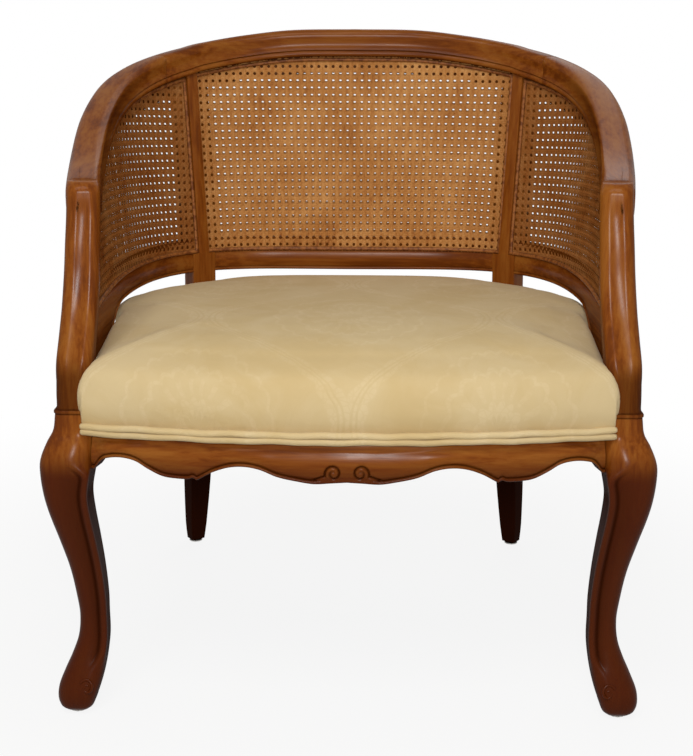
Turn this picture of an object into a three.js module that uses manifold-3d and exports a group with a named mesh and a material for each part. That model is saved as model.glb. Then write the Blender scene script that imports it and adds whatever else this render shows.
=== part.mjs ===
// A low barrel-back armchair: turned-out cabriole front legs, a curved top rail that runs down
// into the arms, double cane panels in the back and sides, and a tight upholstered seat.
// Millimetres, +Z up. The front faces -Y, and left and right are as seen from the front.
import * as THREE from "three";
import { mergeVertices } from "three/addons/utils/BufferGeometryUtils.js";
import Module from "manifold-3d";

const wasm = await Module();
wasm.setup();

// Clearances
const GAP = 0.3; // between neighbouring pieces
const OVERRUN = 6; // how far a cutter runs past the face that it cuts

// Front legs
const LEG_X = 293; // from the middle of the chair to the middle of each leg
const LEG_Y = -246;
const LEG_BLOCK = 42; // side of the square block that the rails join
const LEG_TOP_Z = 348;
const LEG_SIDE_OFFSET = 12; // how far the leg's middle line swings out at the knee and at the foot
const LEG_EDGE = 9;

// Arm supports
const SUPPORT_WIDTH = 38;
const SUPPORT_BASE_DEPTH = 42;
const SUPPORT_TOP_DEPTH = 36;
const SUPPORT_EDGE = 9;
const BEAD_HEIGHT = 5;
const BEAD_REACH = 1.4;
const NOSE_RADIUS = 12; // how far the top of the support rounds back

// Low rail, under the cane: its middle line in plan, and its section
const LOW_RAIL_OUTSET = 5; // outwards from the middle of the front leg
const LOW_HALF_WIDTH = LEG_X + LOW_RAIL_OUTSET;
const LOW_RAIL_SETBACK = 11; // from the back of the arm support's base to the rail's front end
const LOW_FRONT_Y = LEG_Y - LEG_BLOCK / 2 + SUPPORT_BASE_DEPTH + LOW_RAIL_SETBACK;
const LOW_STRAIGHT_LENGTH = 14;
const LOW_WIDEST_Y = LOW_FRONT_Y + LOW_STRAIGHT_LENGTH;
const LOW_BACK_DEPTH = 443; // from the widest place to the middle of the back
const LOW_RAIL_RISE = 105; // from the top of the front legs to the lower edge of the cane
const LOW_RAIL_Z = LEG_TOP_Z + LOW_RAIL_RISE;
const LOW_RAIL_DROP = 22; // how much lower the cane's edge is at the arm support
const LOW_RAIL_FACE = 27; // height of wood that shows under the cane
const LOW_RAIL_WIDTH = 22;
const LOW_RAIL_EDGE = 3;
const BRACKET_DEPTH = 52; // how far the side rail widens downwards at the arm support

// Top rail: its middle line in plan, and its section
const RAIL_OUTSET = 22; // outwards from the middle of the front leg
const RAIL_HALF_WIDTH = LEG_X + RAIL_OUTSET;
const SUPPORT_SETBACK = 28; // backwards, from the low rail's front end to the arm's
const RAIL_FRONT_Y = LOW_FRONT_Y + SUPPORT_SETBACK;
const ARM_LENGTH = 206; // from its front end to the widest place
const RAIL_WIDEST_Y = RAIL_FRONT_Y + ARM_LENGTH;
const BACK_SETBACK = 30;
const RAIL_BACK_DEPTH = LOW_WIDEST_Y + LOW_BACK_DEPTH + BACK_SETBACK - RAIL_WIDEST_Y;
const ARM_INSET_WIDTH = 26; // each arm turns in by this much at its front end
const RAIL_WIDTH = 38;
const RAIL_HEIGHT = 37;
const RAIL_EDGE_RADIUS = 8;
const RAIL_UNDER_EDGE = 3;
const ARM_RISE = 138; // from the lower edge of the cane to the top of the arm's front end
const ARM_TOP_Z = LOW_RAIL_Z + ARM_RISE;
const BACK_RISE = 166; // from there to the highest point of the back
const RAIL_TOP_Z = ARM_TOP_Z + BACK_RISE;
const LIP_WIDTH = 13; // the strip under the rail that the cane is fixed to
const LIP_HEIGHT = 9;

// Rear posts, each one piece with its rear leg
const POST_TOP_INSET = 85; // inwards from the rail's widest place
const POST_TOP_X = RAIL_HALF_WIDTH - POST_TOP_INSET;
const POST_LOW_INSET = 82;
const POST_LOW_X = LOW_HALF_WIDTH - POST_LOW_INSET;
const POST_WIDTH = 34;
const POST_DEPTH = 28;
const POST_EDGE = 4;
const REAR_FOOT_SIDE_OFFSET = 25; // sideways, from the post at the low rail to the foot
const REAR_FOOT_BACK_OFFSET = 61; // backwards, likewise

// Seat frame
const SEAT_OUTSET = 1; // outwards from the middle of the front leg
const SEAT_HALF_WIDTH = LEG_X + SEAT_OUTSET;
const SEAT_BACK_OUTSET = 7; // backwards from the low rail's middle line
const SEAT_BACK_Y = LOW_WIDEST_Y + LOW_BACK_DEPTH + SEAT_BACK_OUTSET;
const LEG_SHOULDER = 8; // from the top of the seat rails to the top of the leg
const SEAT_RAIL_TOP_Z = LEG_TOP_Z - LEG_SHOULDER;
const SEAT_RAIL_HEIGHT = 43;
const SEAT_RAIL_LOW_Z = SEAT_RAIL_TOP_Z - SEAT_RAIL_HEIGHT;
const SEAT_RAIL_WIDTH = 24;
const APRON_PROUD = 4; // the apron's ends stand before the leg's block by this much
const APRON_BOW = 28; // how much the ends of the apron lie behind its middle
const APRON_FRONT_Y = LEG_Y - LEG_BLOCK / 2 - APRON_PROUD - APRON_BOW;
const APRON_DROP = 14; // lowest edge of the apron, below the other rails
const APRON_LOW_Z = SEAT_RAIL_LOW_Z - APRON_DROP;
const APRON_RISE = 21;
const REBATE_DEPTH = 5;
const REBATE_HEIGHT = 14;
const REBATE_Z = SEAT_RAIL_TOP_Z - REBATE_HEIGHT; // under edge of the cover and the welt
const COCK_BEAD = 4;
const COCK_BEAD_REACH = 1.6;

// Joints in the wood
const TENON_LENGTH = 14;
const TENON_WIDTH = 10;
const TENON_SHOULDER = 6; // from the rail's edge to the tenon's edge
const POST_TENON_HEIGHT = 16;
const DOWEL_RADIUS = 5;
const DOWEL_LENGTH = 44;
const BLOCK_REACH = 62;
const BLOCK_WIDTH = 22;
const BLOCK_HEIGHT = 34;
const SCREW_Z = SEAT_RAIL_TOP_Z - SEAT_RAIL_HEIGHT / 2;
const CREST_OVERHANG = 45; // from the post to the joint between the back and the arm
const SCREW_LENGTH = 46;
const SCREW_RADIUS = 2.4;
const SCREW_HEAD_RADIUS = 4.6;
const SCREW_HEAD_HEIGHT = 3;

// Cane
const CANE_OFFSET = 7.6; // from the middle of the frame to the near side of a sheet
const CANE_THICKNESS = 2.4;
const CANE_CLEARANCE = 0.9; // under the top rail
const SPLINE_WIDTH = 5;
const SPLINE_THICKNESS = 1.8;
const POST_REBATE = 9.5; // how far the rebate for the cane reaches into the post from each side

// Upholstery
const WEB_THICKNESS = 2;
const WEB_STRAP = 60;
const WEB_GAP = 50;
const DECK_THICKNESS = 1.5;
const COVER_THICKNESS = 2.5;
const COVER_BULGE = 6; // the side of the seat swells past its seam by this much
const SWELL_RISE = 26; // from the seat rails to where the sides swell most
const SEAT_SIDE_Z = SEAT_RAIL_TOP_Z + SWELL_RISE;
const SEAT_RISE = 91; // from the seat rails to the highest point of the crown
const SEAT_TOP_Z = SEAT_RAIL_TOP_Z + SEAT_RISE;
const SIDE_LIFT = 40; // the side of the seat stands higher beside the low rail's bracket by this much
const COVER_TUCK = 15; // the side draws in by this much beside the low rail's bracket
const COVER_CORNER = 8; // from the widest line of the seat to its front corner
const WELT_RADIUS = 3.7;
const DUST_THICKNESS = 1;

// Glides
const GLIDE_HEIGHT = 3;
const GLIDE_RADIUS = 10;
const GLIDE_PIN_RADIUS = 1.6;
const GLIDE_PIN_LENGTH = 12;

// Shapes as shares
const footShare = 0.6; // width of the rear foot against the width of the post
const railSquareness = 2.9;
const lowSquareness = 4.15;
const armCurve = 1.6;
// [place along the rail: 0 middle of the back, 1 post, 2 front of the arm; share of the rise]
const railHeightShares = [
  [0, 1], [0.37, 0.992], [0.64, 0.95], [0.87, 0.895], [1, 0.85], [1.215, 0.69],
  [1.47, 0.445], [1.71, 0.19], [1.83, 0.09], [2, 0],
];
const lowDropShares = [[0, 0], [1, 0], [1.5, 0.05], [1.75, 0.35], [2, 1]];
const bracketEnd = 1.5;
const bracketShares = [[0, 0], [bracketEnd, 0], [1.6, 0.1], [1.7, 0.5], [1.8, 0.84], [1.9, 0.96], [2, 1]];
// [height, sway of the middle line, width] from the floor up
const legShares = [
  [0, 1, 0.62], [0.014, 1, 0.86], [0.043, 0.96, 1.02], [0.08, 0.75, 1.1], [0.126, 0.33, 1.05],
  [0.178, -0.13, 0.93], [0.233, -0.48, 0.82], [0.305, -0.58, 0.76], [0.374, -0.5, 0.81],
  [0.477, -0.21, 0.88], [0.578, 0.25, 0.99], [0.678, 0.75, 1.1], [0.744, 0.96, 1.17],
  [0.816, 0.88, 1.31], [0.862, 0.75, 1.33], [0.914, 0.38, 1.21], [0.948, 0.12, 1.06], [1, 0, 1],
];
// [height, how far the support has moved from its place on the leg to its place under the arm]
const supportShares = [
  [0, 0], [0.11, 0.02], [0.23, 0.12], [0.35, 0.33], [0.48, 0.55], [0.63, 0.73], [0.77, 0.84],
  [0.9, 0.95], [1, 1],
];
// [height, reach] of the bead at the foot of the support, and [height, how far drawn in] of its top
const beadShares = [[0, 0.4], [0.25, 1], [0.75, 1], [1, 0]];
const noseShares = [[0.5, 0.07], [0.85, 0.25], [1, 0.5]];
// [height between the floor and the low rail, how much of the splay and rake is left, width]
const rearLegShares = [
  [0, 1, 0], [0.06, 0.94, 0.35], [0.26, 0.68, 0.85], [0.53, 0.33, 1], [0.77, 0.1, 1], [1, 0, 1],
];
// [share of the half width, share of the rise] of the apron's lower edge
const apronShares = [
  [0, 0.1], [0.062, 0.05], [0.127, 0], [0.185, 0.1], [0.27, 0.33], [0.335, 0.67], [0.393, 0.81],
  [0.455, 0.76], [0.52, 0.48], [0.575, 0.08], [0.585, 0.02], [0.6, 0.14], [0.615, 0.06],
  [0.658, 0.05], [0.72, 0.14], [0.778, 0.48], [0.829, 0.86], [0.891, 1], [0.953, 0.86], [1, 0.5],
];
// places from the middle of the seat's front to its corner
const frontShares = [0, 0.2, 0.4, 0.6, 0.8, 1];
// [size of the outline, height between the swelling and the crown] of the seat
const crownShares = [[1, 0], [0.985, 0.32], [0.945, 0.55], [0.85, 0.76], [0.6, 0.93], [0.05, 1]];
const crownPlaceShare = 0.5446; // from the middle of the seat's front to the middle of its back
const tuckHeightShare = 0.35; // of the height from the rail to the swelling
const tuckShare = 0.6; // of the swelling there
const liftFallShare = 0.9; // of the side's lift that is lost again behind the bracket

// Finishes
const wood = new THREE.MeshStandardMaterial({ color: 0x7d4a1f, roughness: 0.38, metalness: 0 });
const innerWood = new THREE.MeshStandardMaterial({ color: 0xb98a55, roughness: 0.8 });
const cane = new THREE.MeshStandardMaterial({ color: 0xb5783a, roughness: 0.6 });
const reed = new THREE.MeshStandardMaterial({ color: 0x7a4a22, roughness: 0.5 });
const damask = new THREE.MeshStandardMaterial({ color: 0xd9c796, roughness: 0.85 });
const jute = new THREE.MeshStandardMaterial({ color: 0xa08458, roughness: 0.95 });
const foam = new THREE.MeshStandardMaterial({ color: 0xe6dfc0, roughness: 1 });
const blackCloth = new THREE.MeshStandardMaterial({ color: 0x1c1b1a, roughness: 0.95 });
const steel = new THREE.MeshStandardMaterial({ color: 0x9a9a98, roughness: 0.35, metalness: 1 });

// Solids

/** The closed solid of a geometry, for joining and cutting. */
function solidOf(geometry) {
  const bare = geometry.clone();
  bare.deleteAttribute("normal");
  bare.deleteAttribute("uv");
  const merged = mergeVertices(bare, GAP / 1000);
  return new wasm.Manifold(new wasm.Mesh({
    numProp: 3,
    vertProperties: new Float32Array(merged.attributes.position.array),
    triVerts: new Uint32Array(merged.index.array),
  }));
}

/** The geometry of a solid. */
function geometryOf(solid) {
  const made = solid.getMesh();
  const places = new Float32Array(made.numVert * 3);
  for (let i = 0; i < made.numVert; i++) {
    const start = i * made.numProp;
    places.set(made.vertProperties.subarray(start, start + 3), i * 3);
  }
  const geometry = new THREE.BufferGeometry();
  geometry.setAttribute("position", new THREE.BufferAttribute(places, 3));
  geometry.setIndex(new THREE.BufferAttribute(new Uint32Array(made.triVerts), 1));
  geometry.computeVertexNormals();
  return geometry;
}

function volumeOf(points, faces) {
  let sum = 0;
  for (let i = 0; i < faces.length; i += 3) {
    const across = points[faces[i + 1]].clone().cross(points[faces[i + 2]]);
    sum += points[faces[i]].dot(across);
  }
  return sum;
}

/** A closed solid through rings that hold the same number of points, with a cap at each end. */
function loft(rings) {
  const count = rings[0].length;
  const middle = (ring) =>
    ring.reduce((sum, p) => sum.add(p), new THREE.Vector3()).divideScalar(count);
  const points = [...rings.flat(), middle(rings[0]), middle(rings.at(-1))];
  const lastRing = (rings.length - 1) * count;
  const faces = [];
  for (let i = 0; i < count; i++) {
    const next = (i + 1) % count;
    for (let start = 0; start < lastRing; start += count) {
      faces.push(start + i, start + next, start + count + next);
      faces.push(start + i, start + count + next, start + count + i);
    }
    faces.push(points.length - 2, next, i);
    faces.push(points.length - 1, lastRing + i, lastRing + next);
  }
  if (volumeOf(points, faces) < 0) faces.reverse();
  const geometry = new THREE.BufferGeometry().setFromPoints(points);
  geometry.setIndex(faces);
  return solidOf(geometry);
}

/** A value read from a table of [place, value] rows, smooth through the rows. */
function fromTable(table, place, column = 1) {
  const last = table.length - 1;
  if (place <= table[0][0]) return table[0][column];
  if (place >= table[last][0]) return table[last][column];
  const i = table.findIndex((row) => row[0] > place) - 1;
  const slope = (k) => {
    const before = table[Math.max(k - 1, 0)];
    const after = table[Math.min(k + 1, last)];
    return (after[column] - before[column]) / (after[0] - before[0]);
  };
  const span = table[i + 1][0] - table[i][0];
  const s = (place - table[i][0]) / span;
  const from = table[i][column];
  const to = table[i + 1][column];
  const easeIn = s * (1 - s) * (1 - s) * span * slope(i);
  const easeOut = s * s * (1 - s) * span * slope(i + 1);
  return from + (to - from) * s * s * (3 - 2 * s) + easeIn - easeOut;
}

const lerp = THREE.MathUtils.lerp;
const shareList = (count) => Array.from({ length: count + 1 }, (_, i) => i / count);

// Plan curves

/** A curve in plan from the middle of the back to the front of an arm, mirrored for the left. */
class Plan {
  constructor({ halfWidth, backDepth, widestY, frontY, narrowing, squareness, postX }) {
    const bend = shareList(48).map((share) => {
      const turn = (share * Math.PI) / 2;
      const x = halfWidth * Math.sin(turn) ** (2 / squareness);
      const y = widestY + backDepth * Math.cos(turn) ** (2 / squareness);
      return new THREE.Vector2(x, y);
    });
    const arm = shareList(16).slice(1).map((share) => {
      const x = halfWidth - narrowing * share ** armCurve;
      return new THREE.Vector2(x, lerp(widestY, frontY, share));
    });
    this.points = [...bend, ...arm];
    this.lengths = [0];
    for (let i = 1; i < this.points.length; i++) {
      this.lengths.push(this.lengths[i - 1] + this.points[i].distanceTo(this.points[i - 1]));
    }
    this.whole = this.lengths.at(-1);
    const past = this.points.findIndex((p) => p.x > postX);
    const share = (postX - this.points[past - 1].x) / (this.points[past].x - this.points[past - 1].x);
    this.toPost = lerp(this.lengths[past - 1], this.lengths[past], share);
  }

  pointAt(length) {
    const found = this.lengths.findIndex((value) => value > length);
    const i = found < 0 ? this.points.length - 1 : Math.max(found, 1);
    const share = (length - this.lengths[i - 1]) / (this.lengths[i] - this.lengths[i - 1]);
    return new THREE.Vector2().lerpVectors(this.points[i - 1], this.points[i], share);
  }

  /** The length along the curve at a place: 0 middle of the back, 1 post, 2 front end. */
  lengthAt(place) {
    const side = this.whole - this.toPost;
    return place <= 1 ? place * this.toPost : this.toPost + (place - 1) * side;
  }

  /** A place plus a run in millimetres along the curve towards the front. */
  moved(place, run) {
    const length = this.lengthAt(place) + run;
    const side = this.whole - this.toPost;
    return length <= this.toPost ? length / this.toPost : 1 + (length - this.toPost) / side;
  }

  /** Point, outward direction and forward direction; a place below zero is on the left. */
  at(place) {
    const step = this.whole / 400;
    const length = this.lengthAt(Math.abs(place));
    const side = place < 0 ? -1 : 1;
    const point = this.pointAt(length);
    const before = this.pointAt(Math.abs(length - step));
    if (length < step) before.x = -before.x;
    const along = this.pointAt(length + step).sub(before).normalize();
    return {
      point: new THREE.Vector2(side * point.x, point.y),
      out: new THREE.Vector2(-along.y * side, along.x),
      along: new THREE.Vector2(along.x * side, along.y),
    };
  }

  /** A point at an offset outwards from the curve and at a height. */
  offset(place, outwards, height) {
    const { point, out } = this.at(place);
    return new THREE.Vector3(point.x + out.x * outwards, point.y + out.y * outwards, height);
  }
}

const crestSteps = 22;
const armSteps = 11;
const lowSteps = { back: 10, side: 14 };
const railPlan = new Plan({
  halfWidth: RAIL_HALF_WIDTH,
  backDepth: RAIL_BACK_DEPTH,
  widestY: RAIL_WIDEST_Y,
  frontY: RAIL_FRONT_Y,
  narrowing: ARM_INSET_WIDTH,
  squareness: railSquareness,
  postX: POST_TOP_X,
});
const lowPlan = new Plan({
  halfWidth: LOW_HALF_WIDTH,
  backDepth: LOW_BACK_DEPTH,
  widestY: LOW_WIDEST_Y,
  frontY: LOW_FRONT_Y,
  narrowing: 0,
  squareness: lowSquareness,
  postX: POST_LOW_X,
});
const seatPlan = new Plan({
  halfWidth: SEAT_HALF_WIDTH,
  backDepth: SEAT_BACK_Y - LOW_WIDEST_Y,
  widestY: LOW_WIDEST_Y,
  frontY: LOW_FRONT_Y,
  narrowing: 0,
  squareness: lowSquareness,
  postX: POST_LOW_X,
});

const railTop = (place) =>
  lerp(ARM_TOP_Z, RAIL_TOP_Z, fromTable(railHeightShares, Math.abs(place)));
const railUnder = (place) => railTop(place) - RAIL_HEIGHT;
const caneLow = (place) => LOW_RAIL_Z - LOW_RAIL_DROP * fromTable(lowDropShares, Math.abs(place));

// Sections

/** A rectangle with cut or rounded corners, as [across, up] pairs. */
function boxSection(left, right, low, high, lowEdge, highEdge = lowEdge, steps = 1, lowSteps = 1) {
  const corner = (x, y, radius, start, count) =>
    shareList(count).map((share) => {
      const turn = start + (share * Math.PI) / 2;
      return [x + radius * Math.cos(turn), y + radius * Math.sin(turn)];
    });
  return [
    ...corner(right - highEdge, high - highEdge, highEdge, 0, steps),
    ...corner(left + highEdge, high - highEdge, highEdge, Math.PI / 2, steps),
    ...corner(left + lowEdge, low + lowEdge, lowEdge, Math.PI, lowSteps),
    ...corner(right - lowEdge, low + lowEdge, lowEdge, (3 * Math.PI) / 2, lowSteps),
  ];
}

/** A bar that follows a plan curve; the section gives [outwards, height] pairs at a place. */
function sweep(plan, from, to, steps, section) {
  return loft(shareList(steps).map((share) => {
    const place = lerp(from, to, share);
    return section(place).map(([outwards, height]) => plan.offset(place, outwards, height));
  }));
}

/** A bar that stands up through rounded rectangles, each with a middle, sizes and a turn. */
function column(stations, edge, grow = 0, steps = 2) {
  return loft(stations.map(({ x, y, z, width, depth, turn = 0 }) => {
    const w = width / 2 + grow;
    const d = depth / 2 + grow;
    const radius = Math.min(edge, w * 0.7, d * 0.7);
    return boxSection(-w, w, -d, d, radius, radius, steps, steps).map(([across, up]) => {
      const px = x + across * Math.cos(turn) - up * Math.sin(turn);
      const py = y + across * Math.sin(turn) + up * Math.cos(turn);
      return new THREE.Vector3(px, py, z);
    });
  }));
}

/** A round pin between two points. */
function pin(from, to, radius, sides = 12) {
  const along = new THREE.Vector3().subVectors(to, from);
  const geometry = new THREE.CylinderGeometry(radius, radius, along.length(), sides);
  geometry.translate(0, along.length() / 2, 0);
  const up = new THREE.Vector3(0, 1, 0);
  const turn = new THREE.Quaternion().setFromUnitVectors(up, along.normalize());
  geometry.applyQuaternion(turn);
  geometry.translate(from.x, from.y, from.z);
  return solidOf(geometry);
}

const join = (...solids) => solids.reduce((sum, solid) => sum.add(solid));
const cut = (solid, ...cutters) => cutters.reduce((left, cutter) => left.subtract(cutter), solid);

// The object

const chair = new THREE.Group();
const sides = { left: -1, right: 1 };

/** Adds a piece, without the crumbs that cuts through nearly touching faces leave. */
function addPiece(name, solid, material) {
  const bodies = solid.decompose().filter((body) => body.volume() > GAP ** 3);
  const piece = new THREE.Mesh(geometryOf(join(...bodies)), material);
  piece.name = name;
  chair.add(piece);
}

// The line that the cane follows, from the low rail up to the top rail

/** A point on that line, by its distance outwards and its height above the low rail. */
function caneCorner(place, outwards, height) {
  const low = lowPlan.offset(place, outwards, caneLow(place));
  const high = railPlan.offset(place, outwards, railUnder(place));
  return low.lerp(high, height / (high.z - low.z));
}

/** A band there, between two distances outwards and two heights worked out from the top. */
function caneBand(places, near, far, heights) {
  return loft(places.map((place) => {
    const [low, high] = heights(railUnder(place) - caneLow(place));
    return [
      caneCorner(place, near, low),
      caneCorner(place, far, low),
      caneCorner(place, far, high),
      caneCorner(place, near, high),
    ];
  }));
}

// Top rail

const railEnds = RAIL_WIDTH / 2;

function railBody(from, to, steps, grow = 0) {
  return sweep(railPlan, from, to, steps, (place) =>
    boxSection(
      -railEnds - grow,
      railEnds + grow,
      railUnder(place) - grow,
      railTop(place) + grow,
      RAIL_UNDER_EDGE,
      RAIL_EDGE_RADIUS,
      2,
    ));
}

/** The strip under the rail; it leans as the cane does. */
function railLip(from, to, steps) {
  const places = shareList(steps).map((share) => lerp(from, to, share));
  const half = LIP_WIDTH / 2;
  return caneBand(places, -half, half, (top) => [top - LIP_HEIGHT, top + RAIL_UNDER_EDGE]);
}

// Rear posts

const postTurn = (plan) => {
  const { out } = plan.at(1);
  return Math.atan2(-out.x, out.y);
};

function postStations(side, rise) {
  const low = lowPlan.at(1).point;
  const top = railPlan.at(1).point;
  const turn = side * postTurn(lowPlan);
  const legs = rearLegShares.map(([height, left, widthShare]) => ({
    x: side * (low.x + REAR_FOOT_SIDE_OFFSET * left),
    y: low.y + REAR_FOOT_BACK_OFFSET * left,
    z: lerp(GLIDE_HEIGHT + GAP, LOW_RAIL_Z, height),
    width: POST_WIDTH * lerp(footShare, 1, widthShare),
    depth: POST_DEPTH * lerp(footShare, 1, widthShare),
    turn,
  }));
  const topZ = railUnder(1) + rise;
  const reach = (topZ - LOW_RAIL_Z) / (railUnder(1) - LOW_RAIL_Z);
  return [...legs, {
    x: side * lerp(low.x, top.x, reach),
    y: lerp(low.y, top.y, reach),
    z: topZ,
    width: POST_WIDTH,
    depth: POST_DEPTH,
    turn,
  }];
}

const postBody = (side, grow = 0) =>
  column(postStations(side, RAIL_HEIGHT / 2), POST_EDGE, grow, 1);

function postTenon(side, grow = 0) {
  const [below, top] = postStations(side, POST_TENON_HEIGHT + grow).slice(-2);
  const width = POST_WIDTH - 2 * TENON_SHOULDER;
  const shapes = [below, top].map((station) => ({ ...station, width, depth: TENON_WIDTH }));
  return column(shapes, 0.2 * TENON_WIDTH, grow, 1);
}

// Low rail

const railFace = (place) => caneLow(place) - LOW_RAIL_FACE;
const bracketLow = (place) => railFace(place) - BRACKET_DEPTH * fromTable(bracketShares, Math.abs(place));
const lowRailTop = (place) => caneLow(place) + LIP_HEIGHT;

function lowRailSection(place, grow = 0) {
  return boxSection(
    -LOW_RAIL_WIDTH / 2 - grow,
    LOW_RAIL_WIDTH / 2 + grow,
    bracketLow(place) - grow,
    lowRailTop(place) + grow,
    LOW_RAIL_EDGE,
  );
}

function lowTenonSection(place, grow = 0) {
  return boxSection(
    -TENON_WIDTH / 2 - grow,
    TENON_WIDTH / 2 + grow,
    railFace(place) + TENON_SHOULDER - grow,
    caneLow(place) - TENON_SHOULDER + grow,
    TENON_WIDTH / 8,
  );
}

const lowTenon = (from, to, grow = 0) =>
  sweep(lowPlan, from, to, 2, (place) => lowTenonSection(place, grow));

// Front legs and arm supports

const legHeight = LEG_TOP_Z - GLIDE_HEIGHT - GAP;

function legBody(side, grow = 0) {
  const stations = legShares.map(([height, sway, width]) => ({
    x: side * (LEG_X + LEG_SIDE_OFFSET * sway),
    y: LEG_Y - LEG_SIDE_OFFSET * sway,
    z: GLIDE_HEIGHT + GAP + legHeight * height,
    width: LEG_BLOCK * width,
    depth: LEG_BLOCK * width,
  }));
  stations.at(-1).z += grow;
  return column(stations, LEG_EDGE, grow);
}

const supportBase = (side) => ({
  x: side * (LEG_X + (LEG_BLOCK - SUPPORT_WIDTH) / 2),
  y: LEG_Y - (LEG_BLOCK - SUPPORT_BASE_DEPTH) / 2,
});

function supportBody(side, grow = 0, edge = SUPPORT_EDGE) {
  const { point, along } = railPlan.at(side * 2);
  const turnAtTop = Math.atan2(along.x, -along.y);
  const back = GAP + SUPPORT_TOP_DEPTH / 2;
  const base = supportBase(side);
  const shaft = supportShares.map(([height, moved]) => ({
    x: lerp(base.x, point.x + along.x * back, moved),
    y: lerp(base.y, point.y + along.y * back, moved),
    z: lerp(LEG_TOP_Z + GAP, ARM_TOP_Z - NOSE_RADIUS, height),
    width: SUPPORT_WIDTH,
    depth: lerp(SUPPORT_BASE_DEPTH, SUPPORT_TOP_DEPTH, moved),
    turn: turnAtTop * moved,
  }));
  const bead = beadShares.map(([height, reach]) => ({
    ...shaft[0],
    z: shaft[0].z + BEAD_HEIGHT * height,
    width: SUPPORT_WIDTH + 2 * BEAD_REACH * reach,
    depth: SUPPORT_BASE_DEPTH + 2 * BEAD_REACH * reach,
  }));
  const top = shaft.at(-1);
  const nose = noseShares.map(([height, drawnIn]) => ({
    ...top,
    x: top.x - (along.x * NOSE_RADIUS * drawnIn) / 2,
    y: top.y - (along.y * NOSE_RADIUS * drawnIn) / 2,
    z: top.z + (NOSE_RADIUS + grow) * height,
    width: top.width - NOSE_RADIUS * drawnIn,
    depth: top.depth - NOSE_RADIUS * drawnIn,
  }));
  bead[0].z -= grow;
  return column([...bead, ...shaft.slice(1), ...nose], edge, grow);
}

// Cane and its splines

const postRun = POST_WIDTH / 2 - POST_REBATE;
const caneSteps = { back: 10, left: 11, right: 11 };
const splineNear = CANE_OFFSET + CANE_THICKNESS + GAP;

/** Places along a panel, with one step as wide as a spline at each end. */
function canePlaces(panel, run) {
  const inner = run + SPLINE_WIDTH;
  const frontRuns = [inner, -OVERRUN];
  const postRuns = [run, inner].map((value) => postRun + value);
  const backPlaces = postRuns.map((value) => lowPlan.moved(1, -value));
  const sidePlaces = postRuns.map((value) => lowPlan.moved(1, value));
  const frontPlaces = frontRuns.map((value) => lowPlan.moved(2, -value));
  const between = (from, to) =>
    shareList(caneSteps[panel]).slice(1, -1).map((share) => lerp(from, to, share));
  const [postEdge, postInner] = backPlaces;
  if (panel === "back") {
    return [-postEdge, -postInner, ...between(-postInner, postInner), postInner, postEdge];
  }
  const [sideEdge, sideInner] = sidePlaces;
  const [frontInner, frontEdge] = frontPlaces;
  const places = [sideEdge, sideInner, ...between(sideInner, frontInner), frontInner, frontEdge];
  return places.map((place) => place * sides[panel]);
}

function caneSheet(panel, face) {
  const heights = (top) => [GAP, top - CANE_CLEARANCE];
  const far = CANE_OFFSET + CANE_THICKNESS;
  return caneBand(canePlaces(panel, GAP), face * CANE_OFFSET, face * far, heights);
}

function caneRebate(panel, face) {
  const far = POST_DEPTH / 2 + OVERRUN;
  return caneBand(canePlaces(panel, 0), face * (CANE_OFFSET - GAP), face * far, (top) => [0, top]);
}

function caneSpline(panel, face) {
  const places = canePlaces(panel, GAP);
  const far = splineNear + SPLINE_THICKNESS;
  const whole = caneBand(places, face * far, face * splineNear, (top) => [GAP, top - CANE_CLEARANCE]);
  const inside = caneBand(
    places.slice(1, -1),
    face * (far + OVERRUN),
    face * (splineNear - OVERRUN / 2),
    (top) => [GAP + SPLINE_WIDTH, top - CANE_CLEARANCE - SPLINE_WIDTH],
  );
  return cut(whole, inside);
}

// Seat frame

const apronSpan = LEG_X - LEG_BLOCK / 2;
const apronFace = (x) => APRON_FRONT_Y + APRON_BOW * (x / apronSpan) ** 2;

/** A bar through frames in plan, each with a point and an outward direction. */
function sweepFrames(frames, section) {
  return loft(frames.map((frame, i) => section(i).map(([outwards, height]) => {
    const { point, out } = frame;
    return new THREE.Vector3(point.x + out.x * outwards, point.y + out.y * outwards, height);
  })));
}

/** The point and the outward direction of the front at x, where the cover lies. */
function frontFrame(x) {
  const slope = (2 * APRON_BOW * x) / apronSpan ** 2;
  return {
    point: new THREE.Vector2(x, apronFace(x) + REBATE_DEPTH),
    out: new THREE.Vector2(slope, -1).normalize(),
  };
}

/** The section of a seat rail, with its rebate for the cover; heights are absolute. */
function seatRailSection(low, grow = 0, bead = 0) {
  return [
    [-SEAT_RAIL_WIDTH + REBATE_DEPTH - grow, low - grow],
    [REBATE_DEPTH + bead + grow, low - grow],
    [REBATE_DEPTH + bead + grow, low + COCK_BEAD],
    [REBATE_DEPTH + grow, low + COCK_BEAD + bead / 2],
    [REBATE_DEPTH + grow, REBATE_Z - GAP + grow],
    [grow, REBATE_Z - GAP + grow],
    [grow, SEAT_RAIL_TOP_Z + grow],
    [-SEAT_RAIL_WIDTH + REBATE_DEPTH - grow, SEAT_RAIL_TOP_Z + grow],
  ];
}

const seatRailMiddle = REBATE_DEPTH - SEAT_RAIL_WIDTH / 2;
const seatTenonSection = (grow = 0) =>
  boxSection(
    seatRailMiddle - TENON_WIDTH / 2 - grow,
    seatRailMiddle + TENON_WIDTH / 2 + grow,
    SEAT_RAIL_LOW_Z + 2 * TENON_SHOULDER - grow,
    SEAT_RAIL_TOP_Z - 2 * TENON_SHOULDER + grow,
    TENON_WIDTH / 8,
  );

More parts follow.
